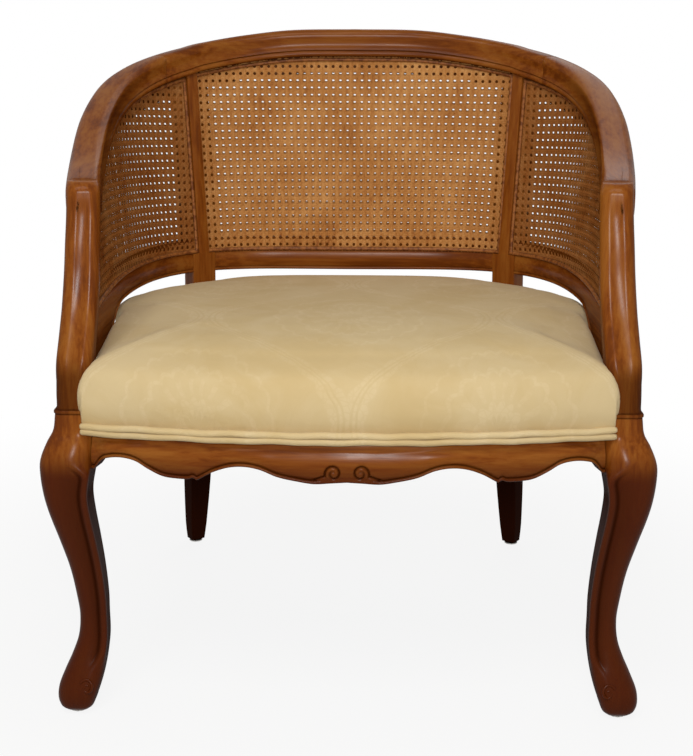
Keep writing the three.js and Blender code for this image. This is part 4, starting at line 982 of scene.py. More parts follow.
@dataclass
class FrontLegs:
    """The turned-out front legs, with a bead down the inner edge and a scroll on the foot."""

    glide: float = 0.003
    sway: float = 0.012
    bead: float = 0.0046
    profile: tuple = (
        (0, 1, 0.62), (0.014, 1, 0.86), (0.043, 0.96, 1.02), (0.08, 0.75, 1.1), (0.126, 0.33, 1.05),
        (0.178, -0.13, 0.93), (0.233, -0.48, 0.82), (0.305, -0.58, 0.76), (0.374, -0.5, 0.81),
        (0.477, -0.21, 0.88), (0.578, 0.25, 0.99), (0.678, 0.75, 1.1), (0.744, 0.96, 1.17),
        (0.816, 0.88, 1.31), (0.862, 0.75, 1.33), (0.914, 0.38, 1.21), (0.948, 0.12, 1.06), (1, 0, 1),
    )
    edges: tuple = ((0, 0.3), (0.1, 0.34), (0.3, 0.36), (0.6, 0.3), (0.8, 0.24), (0.93, 0.16), (1, 0.12))

    def station(self, share: float) -> tuple[Vector, float]:
        """The middle and the width of the right leg at a share of its height."""
        sway = smooth_table(self.profile, share, 1) * self.sway
        width = smooth_table(self.profile, share, 2) * LINES.leg_block
        low = self.glide + LINES.gap
        z = low + (LINES.leg_top - low) * share
        return Vector((LINES.leg_x + sway, LINES.leg_y - sway + SHIFT_Y, z)), width

    def outline(self, share: float, width: float) -> tuple[Pairs, list[float]]:
        """The right leg's section: inner front corner beaded, outer front corner full."""
        w = width / 2
        edge = smooth_table(self.edges, share) * width
        show = smoothstep(share, 0.13, 0.2) * (1 - smoothstep(share, 0.8, 0.86))
        knee = smoothstep(share, 0.78, 0.86) * (1 - smoothstep(share, 0.93, 0.975))
        shape = rounded(-w, w, -w, w, (edge, edge, between(edge, 0.47 * width, knee), edge * 1.1), 5)
        soil = [0.0] * len(shape)
        bead = self.bead
        corner = shape[12:18]
        beaded = [
            (-w + bead * 0.25, -w + bead * 2.0), (-w + bead * 0.02, -w + bead * 1.05), (-w + bead * 0.15, -w + bead * 0.35),
            (-w + bead * 0.5, -w + bead * 0.05), (-w + bead * 1.2, -w + bead * 0.1), (-w + bead * 1.75, -w + bead * 0.55),
        ]
        mixed = [(between(p[0], q[0], show), between(p[1], q[1], show)) for p, q in zip(corner, beaded)]
        x, y = mixed[-1]
        tail = [(x + bead * 0.35, y + bead * 0.05 * show), (x + bead * 0.9, between(y, -w, 0.75))]
        # Painted shade along the inner side face and in the bead's groove.
        soil[9:12] = [0.5, 0.75, 0.8]
        soil[12:18] = [0.75, 0.4, 0, 0, 0.05 * show, 0.75 * show]
        return shape[:12] + mixed + tail + shape[18:], soil[:18] + [show, 0.35 * show] + soil[18:]

    def build(self, finishes: Finishes) -> None:
        """Makes the two legs and their foot scrolls."""
        rings, painted_shades = [], []
        for share in [0, 0.004, 0.009, 0.014, *steps(0.02, 1, 84)]:
            middle, width = self.station(share)
            outline, soil = self.outline(share, width)
            rings.append([Vector((middle.x + a, middle.y + b, middle.z)) for a, b in outline])
            painted_shades.append(soil)
        leg = soften(bar("leg_right", rings, painted_shades), angle=55)
        right = joined([leg, self.scroll()], "leg_right")
        left = mirrored(right, "leg_left")
        dress(right, finishes.wood[Grain.UPRIGHT], "wood", "front_leg_right")
        dress(left, finishes.wood[Grain.UPRIGHT], "wood", "front_leg_left")

    def scroll(self) -> bpy.types.Object:
        """The small curl carved where the bead ends on the foot."""
        path, radii = [], []
        for share in steps(0, 1, 40):
            turn = math.pi * (0.15 + 2.6 * share)
            reach = between(0.0085, 0.0016, share**0.8)
            x = 0.289 + reach * math.cos(turn)
            z = 0.0335 + reach * math.sin(turn) * 1.15
            height = (z - self.glide) / (LINES.leg_top - self.glide)
            middle, width = self.station(height)
            path.append(Vector((x + 0.002, middle.y - width / 2 + 0.0009, z)))
            radii.append(between(0.0021, 0.0013, share))
        return soften(tube("foot_scroll", path, radii), angle=60)


@dataclass
class Apron:
    """The serpentine front rail, with a beaded lower edge whose bead curls up into two carved volutes."""

    low: float = 0.283
    rise: float = 0.021
    shelf: float = 0.3257
    top: float = 0.340
    thickness: float = 0.019
    volute_x: float = 0.0142
    volute_z: float = 0.295
    volute: float = 0.0094
    carved: float = 0.034
    cut: float = 0.0024
    cut_width: float = 0.00115
    rows: int = 36
    serpentine: tuple = (
        (0, 0.1), (0.062, 0.05), (0.127, 0), (0.185, 0.1), (0.27, 0.33), (0.335, 0.67), (0.393, 0.81),
        (0.455, 0.76), (0.52, 0.48), (0.575, 0.08), (0.585, 0.02), (0.6, 0.14), (0.615, 0.06),
        (0.658, 0.05), (0.72, 0.14), (0.778, 0.48), (0.829, 0.86), (0.891, 1), (0.953, 0.88), (0.98, 0.62), (1, 0.25),
    )
    groove: np.ndarray = field(init=False)

    def __post_init__(self) -> None:
        """Lays out the groove of the volute: along the bead, up the outside and inwards in a curl."""
        rows = []
        for share in steps(0, 1, 30):
            x = between(self.carved + 0.008, self.volute_x + self.volute, share)
            low = self.edge(x) + 0.0046
            rows.append((x, between(low, self.volute_z - 0.003, smoothstep(share, 0.25, 1.05)), 1.0))
        for share in steps(0, 1, 160):
            turn = math.radians(-18 + 490 * share)
            reach = self.volute * (1 - 0.78 * share**0.9)
            x = self.volute_x + reach * math.cos(turn)
            z = self.volute_z + reach * math.sin(turn) * 1.06
            rows.append((x, z, 1 - 0.55 * smoothstep(share, 0.55, 1.0)))
        self.groove = np.array(rows)

    def edge(self, x: float) -> float:
        """Height of the lower edge at x."""
        return self.low + self.rise * smooth_table(self.serpentine, abs(x) / LINES.apron_span())

    def carving(self, x: float, z: float) -> tuple[float, float]:
        """How deep the volutes are cut at a point of the face, and how much painted shade lies in the cut."""
        if abs(x) > self.carved + 0.004:
            return 0.0, 0.0
        away = np.hypot(self.groove[:, 0] - abs(x), self.groove[:, 1] - z)
        k = int(np.argmin(away))
        depth = self.groove[k, 2] * math.exp(-((away[k] / self.cut_width) ** 2)) * smoothstep(self.carved + 0.004 - abs(x), 0, 0.004)
        inside = math.hypot(abs(x) - self.volute_x, (z - self.volute_z) / 1.06) / self.volute
        dome = 0.0011 * max(0.0, 1 - inside**2)
        return self.cut * depth - dome, depth

    def section(self, x: float) -> list[tuple[float, float, float]]:
        """The section at x as (outwards, height, painted shade) rows."""
        low = self.edge(x)
        start = low + 0.0052
        bead = 1 - smoothstep(self.carved - abs(x), 0.0, 0.008)
        flush = 0.0035 * smoothstep(abs(x), 0.254, 0.271)
        # Painted shade under the rim, in the bead's groove and in the rebate for the cover.
        rows = [
            (-self.thickness, low + 0.0004, 0.9), (0.0045, low + 0.0002, 0.9), (0.0058, low + 0.0003, 0.3),
            (between(0.0062, 0.0072, bead), low + 0.0011, 0), (between(0.0062, 0.0076, bead), low + 0.0022, 0),
            (between(0.0061, 0.0070, bead), low + 0.0034, 0.2 * bead), (between(0.006, 0.0048, bead), low + 0.0042, 0.9 * bead),
        ]
        for share in steps(0, 1, self.rows):
            z = between(start, self.shelf - 0.0012, share)
            face = 0.0056 + 0.0018 * math.sin(math.pi * min(1, share * 1.15 + 0.1)) - 0.0044 * share**2
            face -= 0.0006 * bead * max(0.0, 1 - share * 12)
            # Painted shade in the carved cuts of the volutes and just above the bead.
            depth, dark = self.carving(x, z)
            rows.append((face - depth, z, max(dark * 0.95, 0.35 * bead * max(0.0, 1 - share * 14))))
        rows += [(0.0008, self.shelf - 0.0002, 0.3), (0.0004, self.shelf, 0.5), (0, self.shelf, 0.8), (0, self.top, 0.4), (-self.thickness, self.top, 0)]
        return [(o - flush if o > 0 and z < self.shelf else o, z, soil) for o, z, soil in rows]

    def build(self, finishes: Finishes) -> None:
        """Makes the rail with its carving."""
        span = LINES.apron_span() + 0.003
        side = steps(self.carved + 0.004, span, 90)
        xs = [*(-x for x in reversed(side)), *steps(-self.carved - 0.004, self.carved + 0.004, 126)[1:-1], *side]
        rings, painted_shades = [], []
        for x in xs:
            here, out = LINES.front(x)
            rows = self.section(x)
            rings.append([Vector((here.x + out.x * o, here.y + out.y * o, z)) for o, z, _ in rows])
            painted_shades.append([soil for *_, soil in rows])
        rail = soften(bar("apron", rings, painted_shades), angle=60)
        dress(rail, finishes.wood[Grain.ACROSS], "wood", "front_apron")


@dataclass
class RearPosts:
    """The rear posts, each one piece with its rear leg."""

    width: float = 0.034
    depth: float = 0.028
    face: float = 0.0075
    web: float = 0.0068
    ledge: float = 0.009
    foot_side: float = 0.025
    foot_back: float = 0.061
    foot_share: float = 0.6
    legs: tuple = ((0, 1, 0), (0.06, 0.94, 0.35), (0.26, 0.68, 0.85), (0.53, 0.33, 1), (0.77, 0.1, 1), (1, 0, 1))

    def outline(self, width: float, depth: float, grooved: bool) -> Pairs:
        """A rectangle, or with rebates for the cane at its four corners."""
        w, d = width / 2, depth / 2
        ledge = w + self.ledge
        quarter = [(ledge, self.web), (self.face, self.web), (self.face, d)] if grooved else [(w, self.web), (w, d), (self.face, d)]
        flipped = [(-a, b) for a, b in reversed(quarter)]
        upper = quarter + flipped
        return upper + [(-a, -b) for a, b in upper]

    def build(self, finishes: Finishes) -> None:
        """Makes the two posts."""
        low, out, _ = LINES.low.at(1)
        top, _, _ = LINES.rail.at(1)
        turn = math.atan2(-out.x, out.y)
        bottom = 0.0033
        rings, painted_shades = [], []

        def add(x: float, y: float, z: float, share: float, grooved: bool) -> None:
            """Adds a section."""
            c, s = math.cos(turn), math.sin(turn)
            outline = self.outline(self.width * share, self.depth * share, grooved)
            rings.append([Vector((x + a * c - b * s, y + a * s + b * c, z)) for a, b in outline])
            # Painted shade: the legs go nearly black below the seat rails.
            painted_shades.append([0.95 * (1 - smoothstep(z, 0.24, 0.34))] * len(outline))

        for share in steps(0, 1, 34):
            left = smooth_table(self.legs, share, 1)
            size = between(self.foot_share, 1, smooth_table(self.legs, share, 2))
            add(low.x + self.foot_side * left, low.y + self.foot_back * left, between(bottom, LINES.low_rail_z, share), size, False)
        under = LINES.rail_under(1)
        for share in steps(0, 1, 10):
            add(between(low.x, top.x, share), between(low.y, top.y, share), between(LINES.low_rail_z + 0.0003, under + 0.002, share), 1, True)
        right = soften(bar("post_right", rings, painted_shades), 0.0018, 35, 3)
        left = mirrored(right, "post_left")
        dress(right, finishes.wood[Grain.UPRIGHT], "wood", "rear_post_right")
        dress(left, finishes.wood[Grain.UPRIGHT], "wood", "rear_post_left")


@dataclass
class LowRails:
    """The rails under the cane: one behind and one on each side, with a bracket at the arm support."""

    half: float = 0.011
    web: float = 0.0073
    face: float = 0.027
    lip: float = 0.019
    bracket: float = 0.052
    brackets: tuple = ((0, 0), (1.5, 0), (1.6, 0.1), (1.7, 0.5), (1.8, 0.84), (1.9, 0.96), (2, 1))

    def section(self, place: float) -> list[tuple[float, float, float]]:
        """The section as (outwards, height, painted shade) rows."""
        low = LINES.cane_low(place) - self.face - self.bracket * smooth_table(self.brackets, abs(place))
        cane, h, w = LINES.cane_low(place), self.half, self.web
        # Painted shade in the bead's groove and in the rebate under the cane.
        half = [
            (h - 0.0022, low, 0), (h - 0.0004, low + 0.0007, 0), (h + 0.0005, low + 0.0022, 0), (h - 0.0001, low + 0.0038, 0.2),
            (h - 0.0014, low + 0.0046, 0.6), (h - 0.0009, low + 0.0056, 0.1), (h - 0.0003, low + 0.009, 0),
            (h, low + 0.0135, 0), (h - 0.0001, cane - 0.0095, 0), (h - 0.0007, cane - 0.0045, 0), (h - 0.0014, cane - 0.0012, 0), (h - 0.0018, cane - 0.0002, 0.2), (w, cane - 0.0002, 0.8), (w, cane + self.lip - 0.0008, 0.6), (w - 0.0008, cane + self.lip, 0.5),
        ]
        return half + [(-a, b, c) for a, b, c in reversed(half)]

    def length(self, name: str, start: float, end: float, count: int) -> bpy.types.Object:
        """Draws one rail between two places."""
        rows = [self.section(place) for place in steps(start, end, count)]
        rings = [LINES.low.ring(place, [(o, z) for o, z, _ in row]) for place, row in zip(steps(start, end, count), rows)]
        return soften(bar(name, rings, [[soil for *_, soil in row] for row in rows]), angle=38)

    def build(self, finishes: Finishes) -> None:
        """Makes the three rails."""
        reach = 0.0172
        end = LINES.low.moved(1, -reach)
        back = self.length("back_low_rail", -end, end, 48)
        dress(back, finishes.wood[Grain.ACROSS], "wood", "back_lower_rail")
        right = self.length("side_low_rail_right", LINES.low.moved(1, reach), LINES.low.moved(2, 0.012), 60)
        left = mirrored(right, "side_low_rail_left")
        dress(right, finishes.wood[Grain.BACKWARDS], "wood", "side_lower_rail_right")
        dress(left, finishes.wood[Grain.BACKWARDS], "wood", "side_lower_rail_left")


@dataclass
class SeatRails:
    """The side and back rails of the seat frame, rebated for the cover."""

    low: float = 0.297
    top: float = 0.340
    shelf: float = 0.3257
    thickness: float = 0.019
    proud: float = 0.005

    def length(self, name: str, start: float, end: float, count: int) -> bpy.types.Object:
        """Draws one rail between two places."""
        p, inner = self.proud, -self.thickness
        section = [
            (inner, self.low), (p - 0.001, self.low), (p, self.low + 0.001), (p, self.low + 0.02), (p, self.shelf - 0.001),
            (p - 0.001, self.shelf), (0, self.shelf), (0, self.top), (inner, self.top),
        ]
        return soften(bar(name, [LINES.seat.ring(place, section) for place in steps(start, end, count)]), 0.0006, 38)

    def build(self, finishes: Finishes) -> None:
        """Makes the three rails."""
        back = LINES.seat.moved(1, -0.0145)
        start = LINES.seat.moved(1, 0.0145)
        end = LINES.seat.moved(2, -0.214 - LINES.leg_y - LINES.leg_block / 2 + 0.002)
        dress(self.length("seat_rail_back", -back, back, 36), finishes.wood[Grain.ACROSS], "wood", "back_seat_rail")
        right = self.length("seat_rail_right", start, end, 36)
        left = mirrored(right, "seat_rail_left")
        dress(right, finishes.wood[Grain.BACKWARDS], "wood", "side_seat_rail_right")
        dress(left, finishes.wood[Grain.BACKWARDS], "wood", "side_seat_rail_left")


# Cane


class Layer(Enum):
    """The two skins of cane, by the side of the frame that they lie on."""

    INNER = -1
    OUTER = 1


@dataclass
class Panel:
    """One opening of the frame that cane fills."""

    name: str
    start: float
    end: float


@dataclass
class CanePanels:
    """Woven cane, stretched in two skins over the back and the sides, and the reeds that hold it."""

    pitch: float = 0.0098
    pair: float = 0.00148
    strand: float = 0.0028
    thin: float = 0.0005
    slant: float = 0.0029
    offset: float = 0.0088
    spare: int = 6
    tilt: float = math.radians(2.5)
    sight: tuple[float, float, float] = (0.0, -1.594, 0.722)
    slip: tuple[float, float, float] = (0.19, 0.16, 0.19)
    reed: float = 0.005
    spline_near: float = 0.0102
    spline_far: float = 0.0124

    def panels(self) -> list[Panel]:
        """The back opening and the right one."""
        edge = LINES.low.moved(1, -0.0079)
        near = LINES.low.moved(1, 0.0079)
        return [Panel("back", -edge, edge), Panel("right", near, LINES.low.moved(2, -0.001))]

    def strand_piece(self, name: str, points: Sequence[tuple[float, float, float]], across: Vector, width: float) -> bpy.types.Object:
        """One strand's run through a cell: a flat strip that rises and dips over the others."""
        rings = []
        for x, y, z in points:
            middle = Vector((x, y, z))
            side, up = across * (width / 2), Vector((0, 0, self.thin / 2))
            rings.append([middle + up, middle - side - up * 0.3, middle + side - up * 0.3])
        blank = Blank(name, rings[0])
        for ring in rings[1:]:
            blank.draw(ring)
        bpy.ops.mesh.select_mode(type="FACE")
        mesh = bmesh.from_edit_mesh(blank.piece.data)
        ends = (rings[0], rings[-1])
        middles = [sum(ring, Vector()) / len(ring) for ring in ends]
        for face in mesh.faces:
            face.select = min((face.calc_center_median() - m).length for m in middles) < 1e-6
        bmesh.update_edit_mesh(blank.piece.data)
        bpy.ops.mesh.delete(type="ONLY_FACE")
        return blank.close()

    def cell(self) -> bpy.types.Object:
        """One repeat of the weave: two uprights, two rows and a slanting strand each way."""
        a, p = self.pair, self.pitch
        keys = (-a, a, p / 2 - a, p / 2 + a, p - a)
        low, high = self.thin * 0.55, self.thin * 1.35
        pieces = []
        for k, x in enumerate((-a, a)):
            sign = 1 if k == 0 else -1
            heights = [sign * low * f for f in (1, -1, 1, -1, 1)]
            pieces.append(self.strand_piece("upright", [(x, y, z) for y, z in zip(keys, heights)], Vector((1, 0, 0)), self.strand))
            pieces.append(self.strand_piece("row", [(y, x, -z) for y, z in zip(keys, heights)], Vector((0, 1, 0)), self.strand))
        for sign in (1, -1):
            heights = [sign * high * f for f in (1, 1, -1, -1, 1)]
            slope = Vector((sign, 1, 0)).normalized()
            points = [(x, sign * (p / 2 - x) if sign > 0 else x - p / 2, z) for x, z in zip(keys, heights)]
            pieces.append(self.strand_piece("slant", points, slope, self.slant))
        return joined(pieces, "cell")

    def flat(self, columns: int, rows: int) -> bpy.types.Object:
        """A flat sheet of so many repeats, woven from copies of one cell."""
        sheet = self.cell()
        take(sheet)
        for count, axis in ((columns, 0), (rows, 1)):
            spread = sheet.modifiers.new("spread", "ARRAY")
            spread.count = count
            spread.use_relative_offset = False
            spread.use_constant_offset = True
            move = [0.0, 0.0, 0.0]
            move[axis] = self.pitch
            spread.constant_offset_displace = move
            bpy.ops.object.modifier_apply(modifier=spread.name)
        bpy.ops.object.mode_set(mode="EDIT")
        bpy.ops.mesh.select_mode(type="VERT")
        bpy.ops.mesh.select_all(action="SELECT")
        bpy.ops.mesh.remove_doubles(threshold=2e-5)
        bpy.ops.object.mode_set(mode="OBJECT")
        return sheet

    def trim(self, sheet: bpy.types.Object, keep: Callable[[np.ndarray], np.ndarray]) -> None:
        """Cuts away the faces of a sheet that lie outside its opening."""
        mesh = sheet.data
        middles = np.zeros(len(mesh.polygons) * 3)
        mesh.polygons.foreach_get("center", middles)
        kept = keep(middles.reshape(-1, 3))
        mesh.polygons.foreach_set("select", ~kept)
        take(sheet)
        bpy.ops.object.mode_set(mode="EDIT")
        bpy.ops.mesh.select_mode(type="FACE")
        bpy.ops.object.mode_set(mode="OBJECT")
        mesh.polygons.foreach_set("select", ~kept)
        bpy.ops.object.mode_set(mode="EDIT")
        bpy.ops.mesh.delete(type="FACE")
        bpy.ops.mesh.select_all(action="SELECT")
        bpy.ops.mesh.fill_holes(sides=4)
        bpy.ops.object.mode_set(mode="OBJECT")

    def lay(self, runs: np.ndarray, table: dict, run: np.ndarray, height: np.ndarray, outwards: np.ndarray) -> np.ndarray:
        """Points of the leaning surface by run, height above the low rail and distance outwards."""
        cols = {key: np.interp(run, runs, values) for key, values in table.items()}
        share = height / (cols["high_z"] - cols["low_z"])
        x = (cols["low_x"] + cols["low_ox"] * outwards) * (1 - share) + (cols["high_x"] + cols["high_ox"] * outwards) * share
        y = (cols["low_y"] + cols["low_oy"] * outwards) * (1 - share) + (cols["high_y"] + cols["high_oy"] * outwards) * share
        return np.stack([x, y, cols["low_z"] + height], 1)

    def stretch(self, flat: bpy.types.Object, layer: Layer, name: str, runs: np.ndarray, table: dict) -> bpy.types.Object:
        """Lays a flat sheet on one side of its opening."""
        take(flat)
        flat.name = flat.data.name = name
        co = np.zeros(len(flat.data.vertices) * 3)
        flat.data.vertices.foreach_get("co", co)
        co = co.reshape(-1, 3)
        laid = self.lay(runs, table, co[:, 0], co[:, 1], layer.value * (self.offset + co[:, 2]))
        flat.data.vertices.foreach_set("co", laid.ravel())
        across = np.clip(np.abs(co[:, 0] / (runs[-1] + runs[0]) * 2 - 1), 0, 1)
        # Painted shade: the back's cane darkens towards its ends by the posts, and the side panels carry painted shade
        # all over.
        soil = flat.data.attributes.get("soil") or flat.data.attributes.new("soil", "FLOAT", "POINT")
        soil.data.foreach_set("value", (across**6 * 0.3 if "back" in name else across * 0 + 0.55).astype(np.float32))
        flat.data.update()
        if layer is Layer.INNER:
            bpy.ops.object.mode_set(mode="EDIT")
            bpy.ops.mesh.select_all(action="SELECT")
            bpy.ops.mesh.flip_normals()
            bpy.ops.object.mode_set(mode="OBJECT")
        return flat

    def surface(self, panel: Panel) -> tuple[np.ndarray, dict, float]:
        """The runs along an opening, the lines above and below it there, and the opening's width."""
        spare = self.spare * self.pitch
        start = LINES.low.moved(panel.start, -spare) if panel.start > 0 else -LINES.low.moved(-panel.start, spare)
        places = np.linspace(start, LINES.low.moved(panel.end, spare), 280)
        keys = ("low_x", "low_y", "low_ox", "low_oy", "low_z", "high_x", "high_y", "high_ox", "high_oy", "high_z")
        rows = []
        for place in places:
            low, low_out, _ = LINES.low.at(place)
            high, high_out, _ = LINES.rail.at(place)
            rows.append((low.x, low.y, low_out.x, low_out.y, LINES.cane_low(place), high.x, high.y, high_out.x, high_out.y, LINES.rail_under(place)))
        grid = np.array(rows)
        middle = (grid[:, 0:2] + grid[:, 5:7]) / 2
        runs = np.r_[0, np.cumsum(np.hypot(*np.diff(middle, axis=0).T))]
        runs -= np.interp(panel.start, places, runs)
        return runs, dict(zip(keys, grid.T)), float(np.interp(panel.end, places, runs))

    def weave(self, panel: Panel) -> list[bpy.types.Object]:
        """Weaves the cane of one opening and lays it on both sides."""
        runs, table, width = self.surface(panel)
        heights = table["high_z"] - table["low_z"] - LINES.cane_clearance
        tallest = float(heights[(runs > 0) & (runs < width)].max())
        columns = math.ceil(width / self.pitch) + 2 * self.spare
        rows = math.ceil(tallest / self.pitch) + self.spare
        blank = self.flat(columns, rows)
        shift = Vector(((width - (columns - 1) * self.pitch) / 2, 0.0035 - self.spare // 2 * self.pitch, 0))

        def keep(at: np.ndarray) -> np.ndarray:
            """Which faces lie inside the opening."""
            top = np.interp(at[:, 0], runs, heights)
            return (at[:, 0] > 0.0003) & (at[:, 0] < width - 0.0003) & (at[:, 1] > 0.0006) & (at[:, 1] < top)

        made = []
        for layer in Layer:
            take(blank)
            bpy.ops.object.duplicate(linked=False)
            flat = bpy.context.object
            flat.data.transform(Matrix.Rotation(self.tilt if panel.start > 0 else 0.0, 4, "Z") @ Matrix.Translation(shift))
            if layer is Layer.OUTER:
                self.line_up(flat, panel, runs, table, width, tallest)
            self.trim(flat, keep)
            made.append(self.stretch(flat, layer, f"{layer.name.lower()}_weave_{panel.name}", runs, table))
        bpy.data.objects.remove(blank)
        return made

    def line_up(self, flat: bpy.types.Object, panel: Panel, runs: np.ndarray, table: dict, width: float, tallest: float) -> None:
        """Slips a flat sheet so that its holes lie behind those of the inner skin from the front, less so low in the middle."""
        co = np.zeros(len(flat.data.vertices) * 3)
        flat.data.vertices.foreach_get("co", co)
        co = co.reshape(-1, 3)
        level = np.full(len(co), self.offset)
        near = self.lay(runs, table, co[:, 0], co[:, 1], -level)
        ray = near - np.array(self.sight)
        ray /= np.linalg.norm(ray, axis=1, keepdims=True)
        run, height, tiny = co[:, 0].copy(), co[:, 1].copy(), 0.001
        for _ in range(6):
            far = self.lay(runs, table, run, height, level)
            along = (self.lay(runs, table, run + tiny, height, level) - far) / tiny
            up = (self.lay(runs, table, run, height + tiny, level) - far) / tiny
            step = np.linalg.solve(np.stack([along, up, -ray], 2) + np.eye(3) * 1e-9, (near - far)[:, :, None])[:, :, 0]
            run = np.clip(run + np.clip(step[:, 0], -0.02, 0.02), co[:, 0] - 0.05, co[:, 0] + 0.05)
            height = np.clip(height + np.clip(step[:, 1], -0.02, 0.02), co[:, 1] - 0.03, co[:, 1] + 0.03)
        across = np.clip(co[:, 0] / width * 2 - 1, -1, 1)
        low = np.clip(1 - co[:, 1] / tallest, 0, 1)
        if panel.name == "back":
            slip = self.slip[0] + self.slip[1] * (1 - across**4) * np.clip(low / 0.75, 0, 1) ** 1.3
        else:
            slip = self.slip[2] * np.ones(len(co))
        LOG.info("%s: outer skin slips %.1f to %.1f mm", panel.name, 1000 * float((run - co[:, 0]).min()), 1000 * float((run - co[:, 0]).max()))
        co[:, 0], co[:, 1] = run, height + slip * self.pitch
        flat.data.vertices.foreach_set("co", co.ravel())

    def reed_loop(self, panel: Panel, layer: Layer, name: str) -> bpy.types.Object:
        """The reed round one side of an opening, mitred at its corners."""
        inset = self.reed
        inner_start = LINES.low.moved(abs(panel.start), -math.copysign(inset, panel.start)) * math.copysign(1, panel.start)
        if panel.start > 0:
            inner_start = LINES.low.moved(panel.start, inset)
        inner_end = LINES.low.moved(panel.end, -inset)
        profile = [(0.0, 0.25), (0.12, 0.7), (0.32, 1.0), (0.68, 1.0), (0.88, 0.7), (1.0, 0.25), (1.0, -0.3), (0.0, -0.3)]
        # Painted shade of each point of the profile: light on the crown, dark on the sides and underside.
        soil = [0.4, 0.1, 0, 0, 0.1, 0.4, 1, 1]

        def corner(share_in: float, place: float, inner: float, up: float, level: float) -> Vector:
            """A point of the reed, so far in from the opening's edge."""
            where = between(place, inner, share_in)
            rise = LINES.cane_rise(where)
            height = up * (rise - LINES.cane_clearance - 0.0004) + (1 - up) * 0.0004
            height += (1 - 2 * up) * share_in * inset
            out = layer.value * between(self.spline_near, self.spline_far, level)
            return LINES.cane_point(where, out, height)

        def ring(place: float, inner: float, up: float) -> Ring:
            """The reed's section there."""
            return [corner(s, place, inner, up, level) for s, level in profile]

        stops = [(panel.start, inner_start, 0.0)]
        count = 40
        for share in steps(0, 1, count)[1:-1]:
            stops.append((between(panel.start, panel.end, share), between(inner_start, inner_end, share), 0.0))
        stops.append((panel.end, inner_end, 0.0))
        stops += [(panel.end, inner_end, up) for up in steps(0, 1, 8)[1:]]
        for share in steps(1, 0, count)[1:-1]:
            stops.append((between(panel.start, panel.end, share), between(inner_start, inner_end, share), 1.0))
        stops.append((panel.start, inner_start, 1.0))
        stops += [(panel.start, inner_start, up) for up in steps(1, 0, 8)[1:-1]]
        rings = [ring(*stop) for stop in stops]
        blank = Blank(name, rings[0], soil)
        for r in rings[1:]:
            blank.draw(r, soil)
        blank.draw(rings[0], soil)
        return soften(blank.close_loop(), angle=50)

    def build(self, finishes: Finishes) -> None:
        """Makes all six skins and their reeds."""
        for panel in self.panels():
            skins = self.weave(panel)
            for layer, skin in zip(Layer, skins):
                side = layer.name.lower()
                reed = self.reed_loop(panel, layer, f"{side}_reed_{panel.name}")
                if panel.name == "right":
                    other = mirrored(skin, f"{side}_weave_left")
                    other_reed = mirrored(reed, f"{side}_reed_left")
                    dress(other, finishes.cane, "cane", f"{side}_cane_left")
                    dress(other_reed, finishes.reed, "reed", f"{side}_spline_left")
                dress(skin, finishes.cane, "cane", f"{side}_cane_{panel.name}")
                dress(reed, finishes.reed, "reed", f"{side}_spline_{panel.name}")


# Upholstery


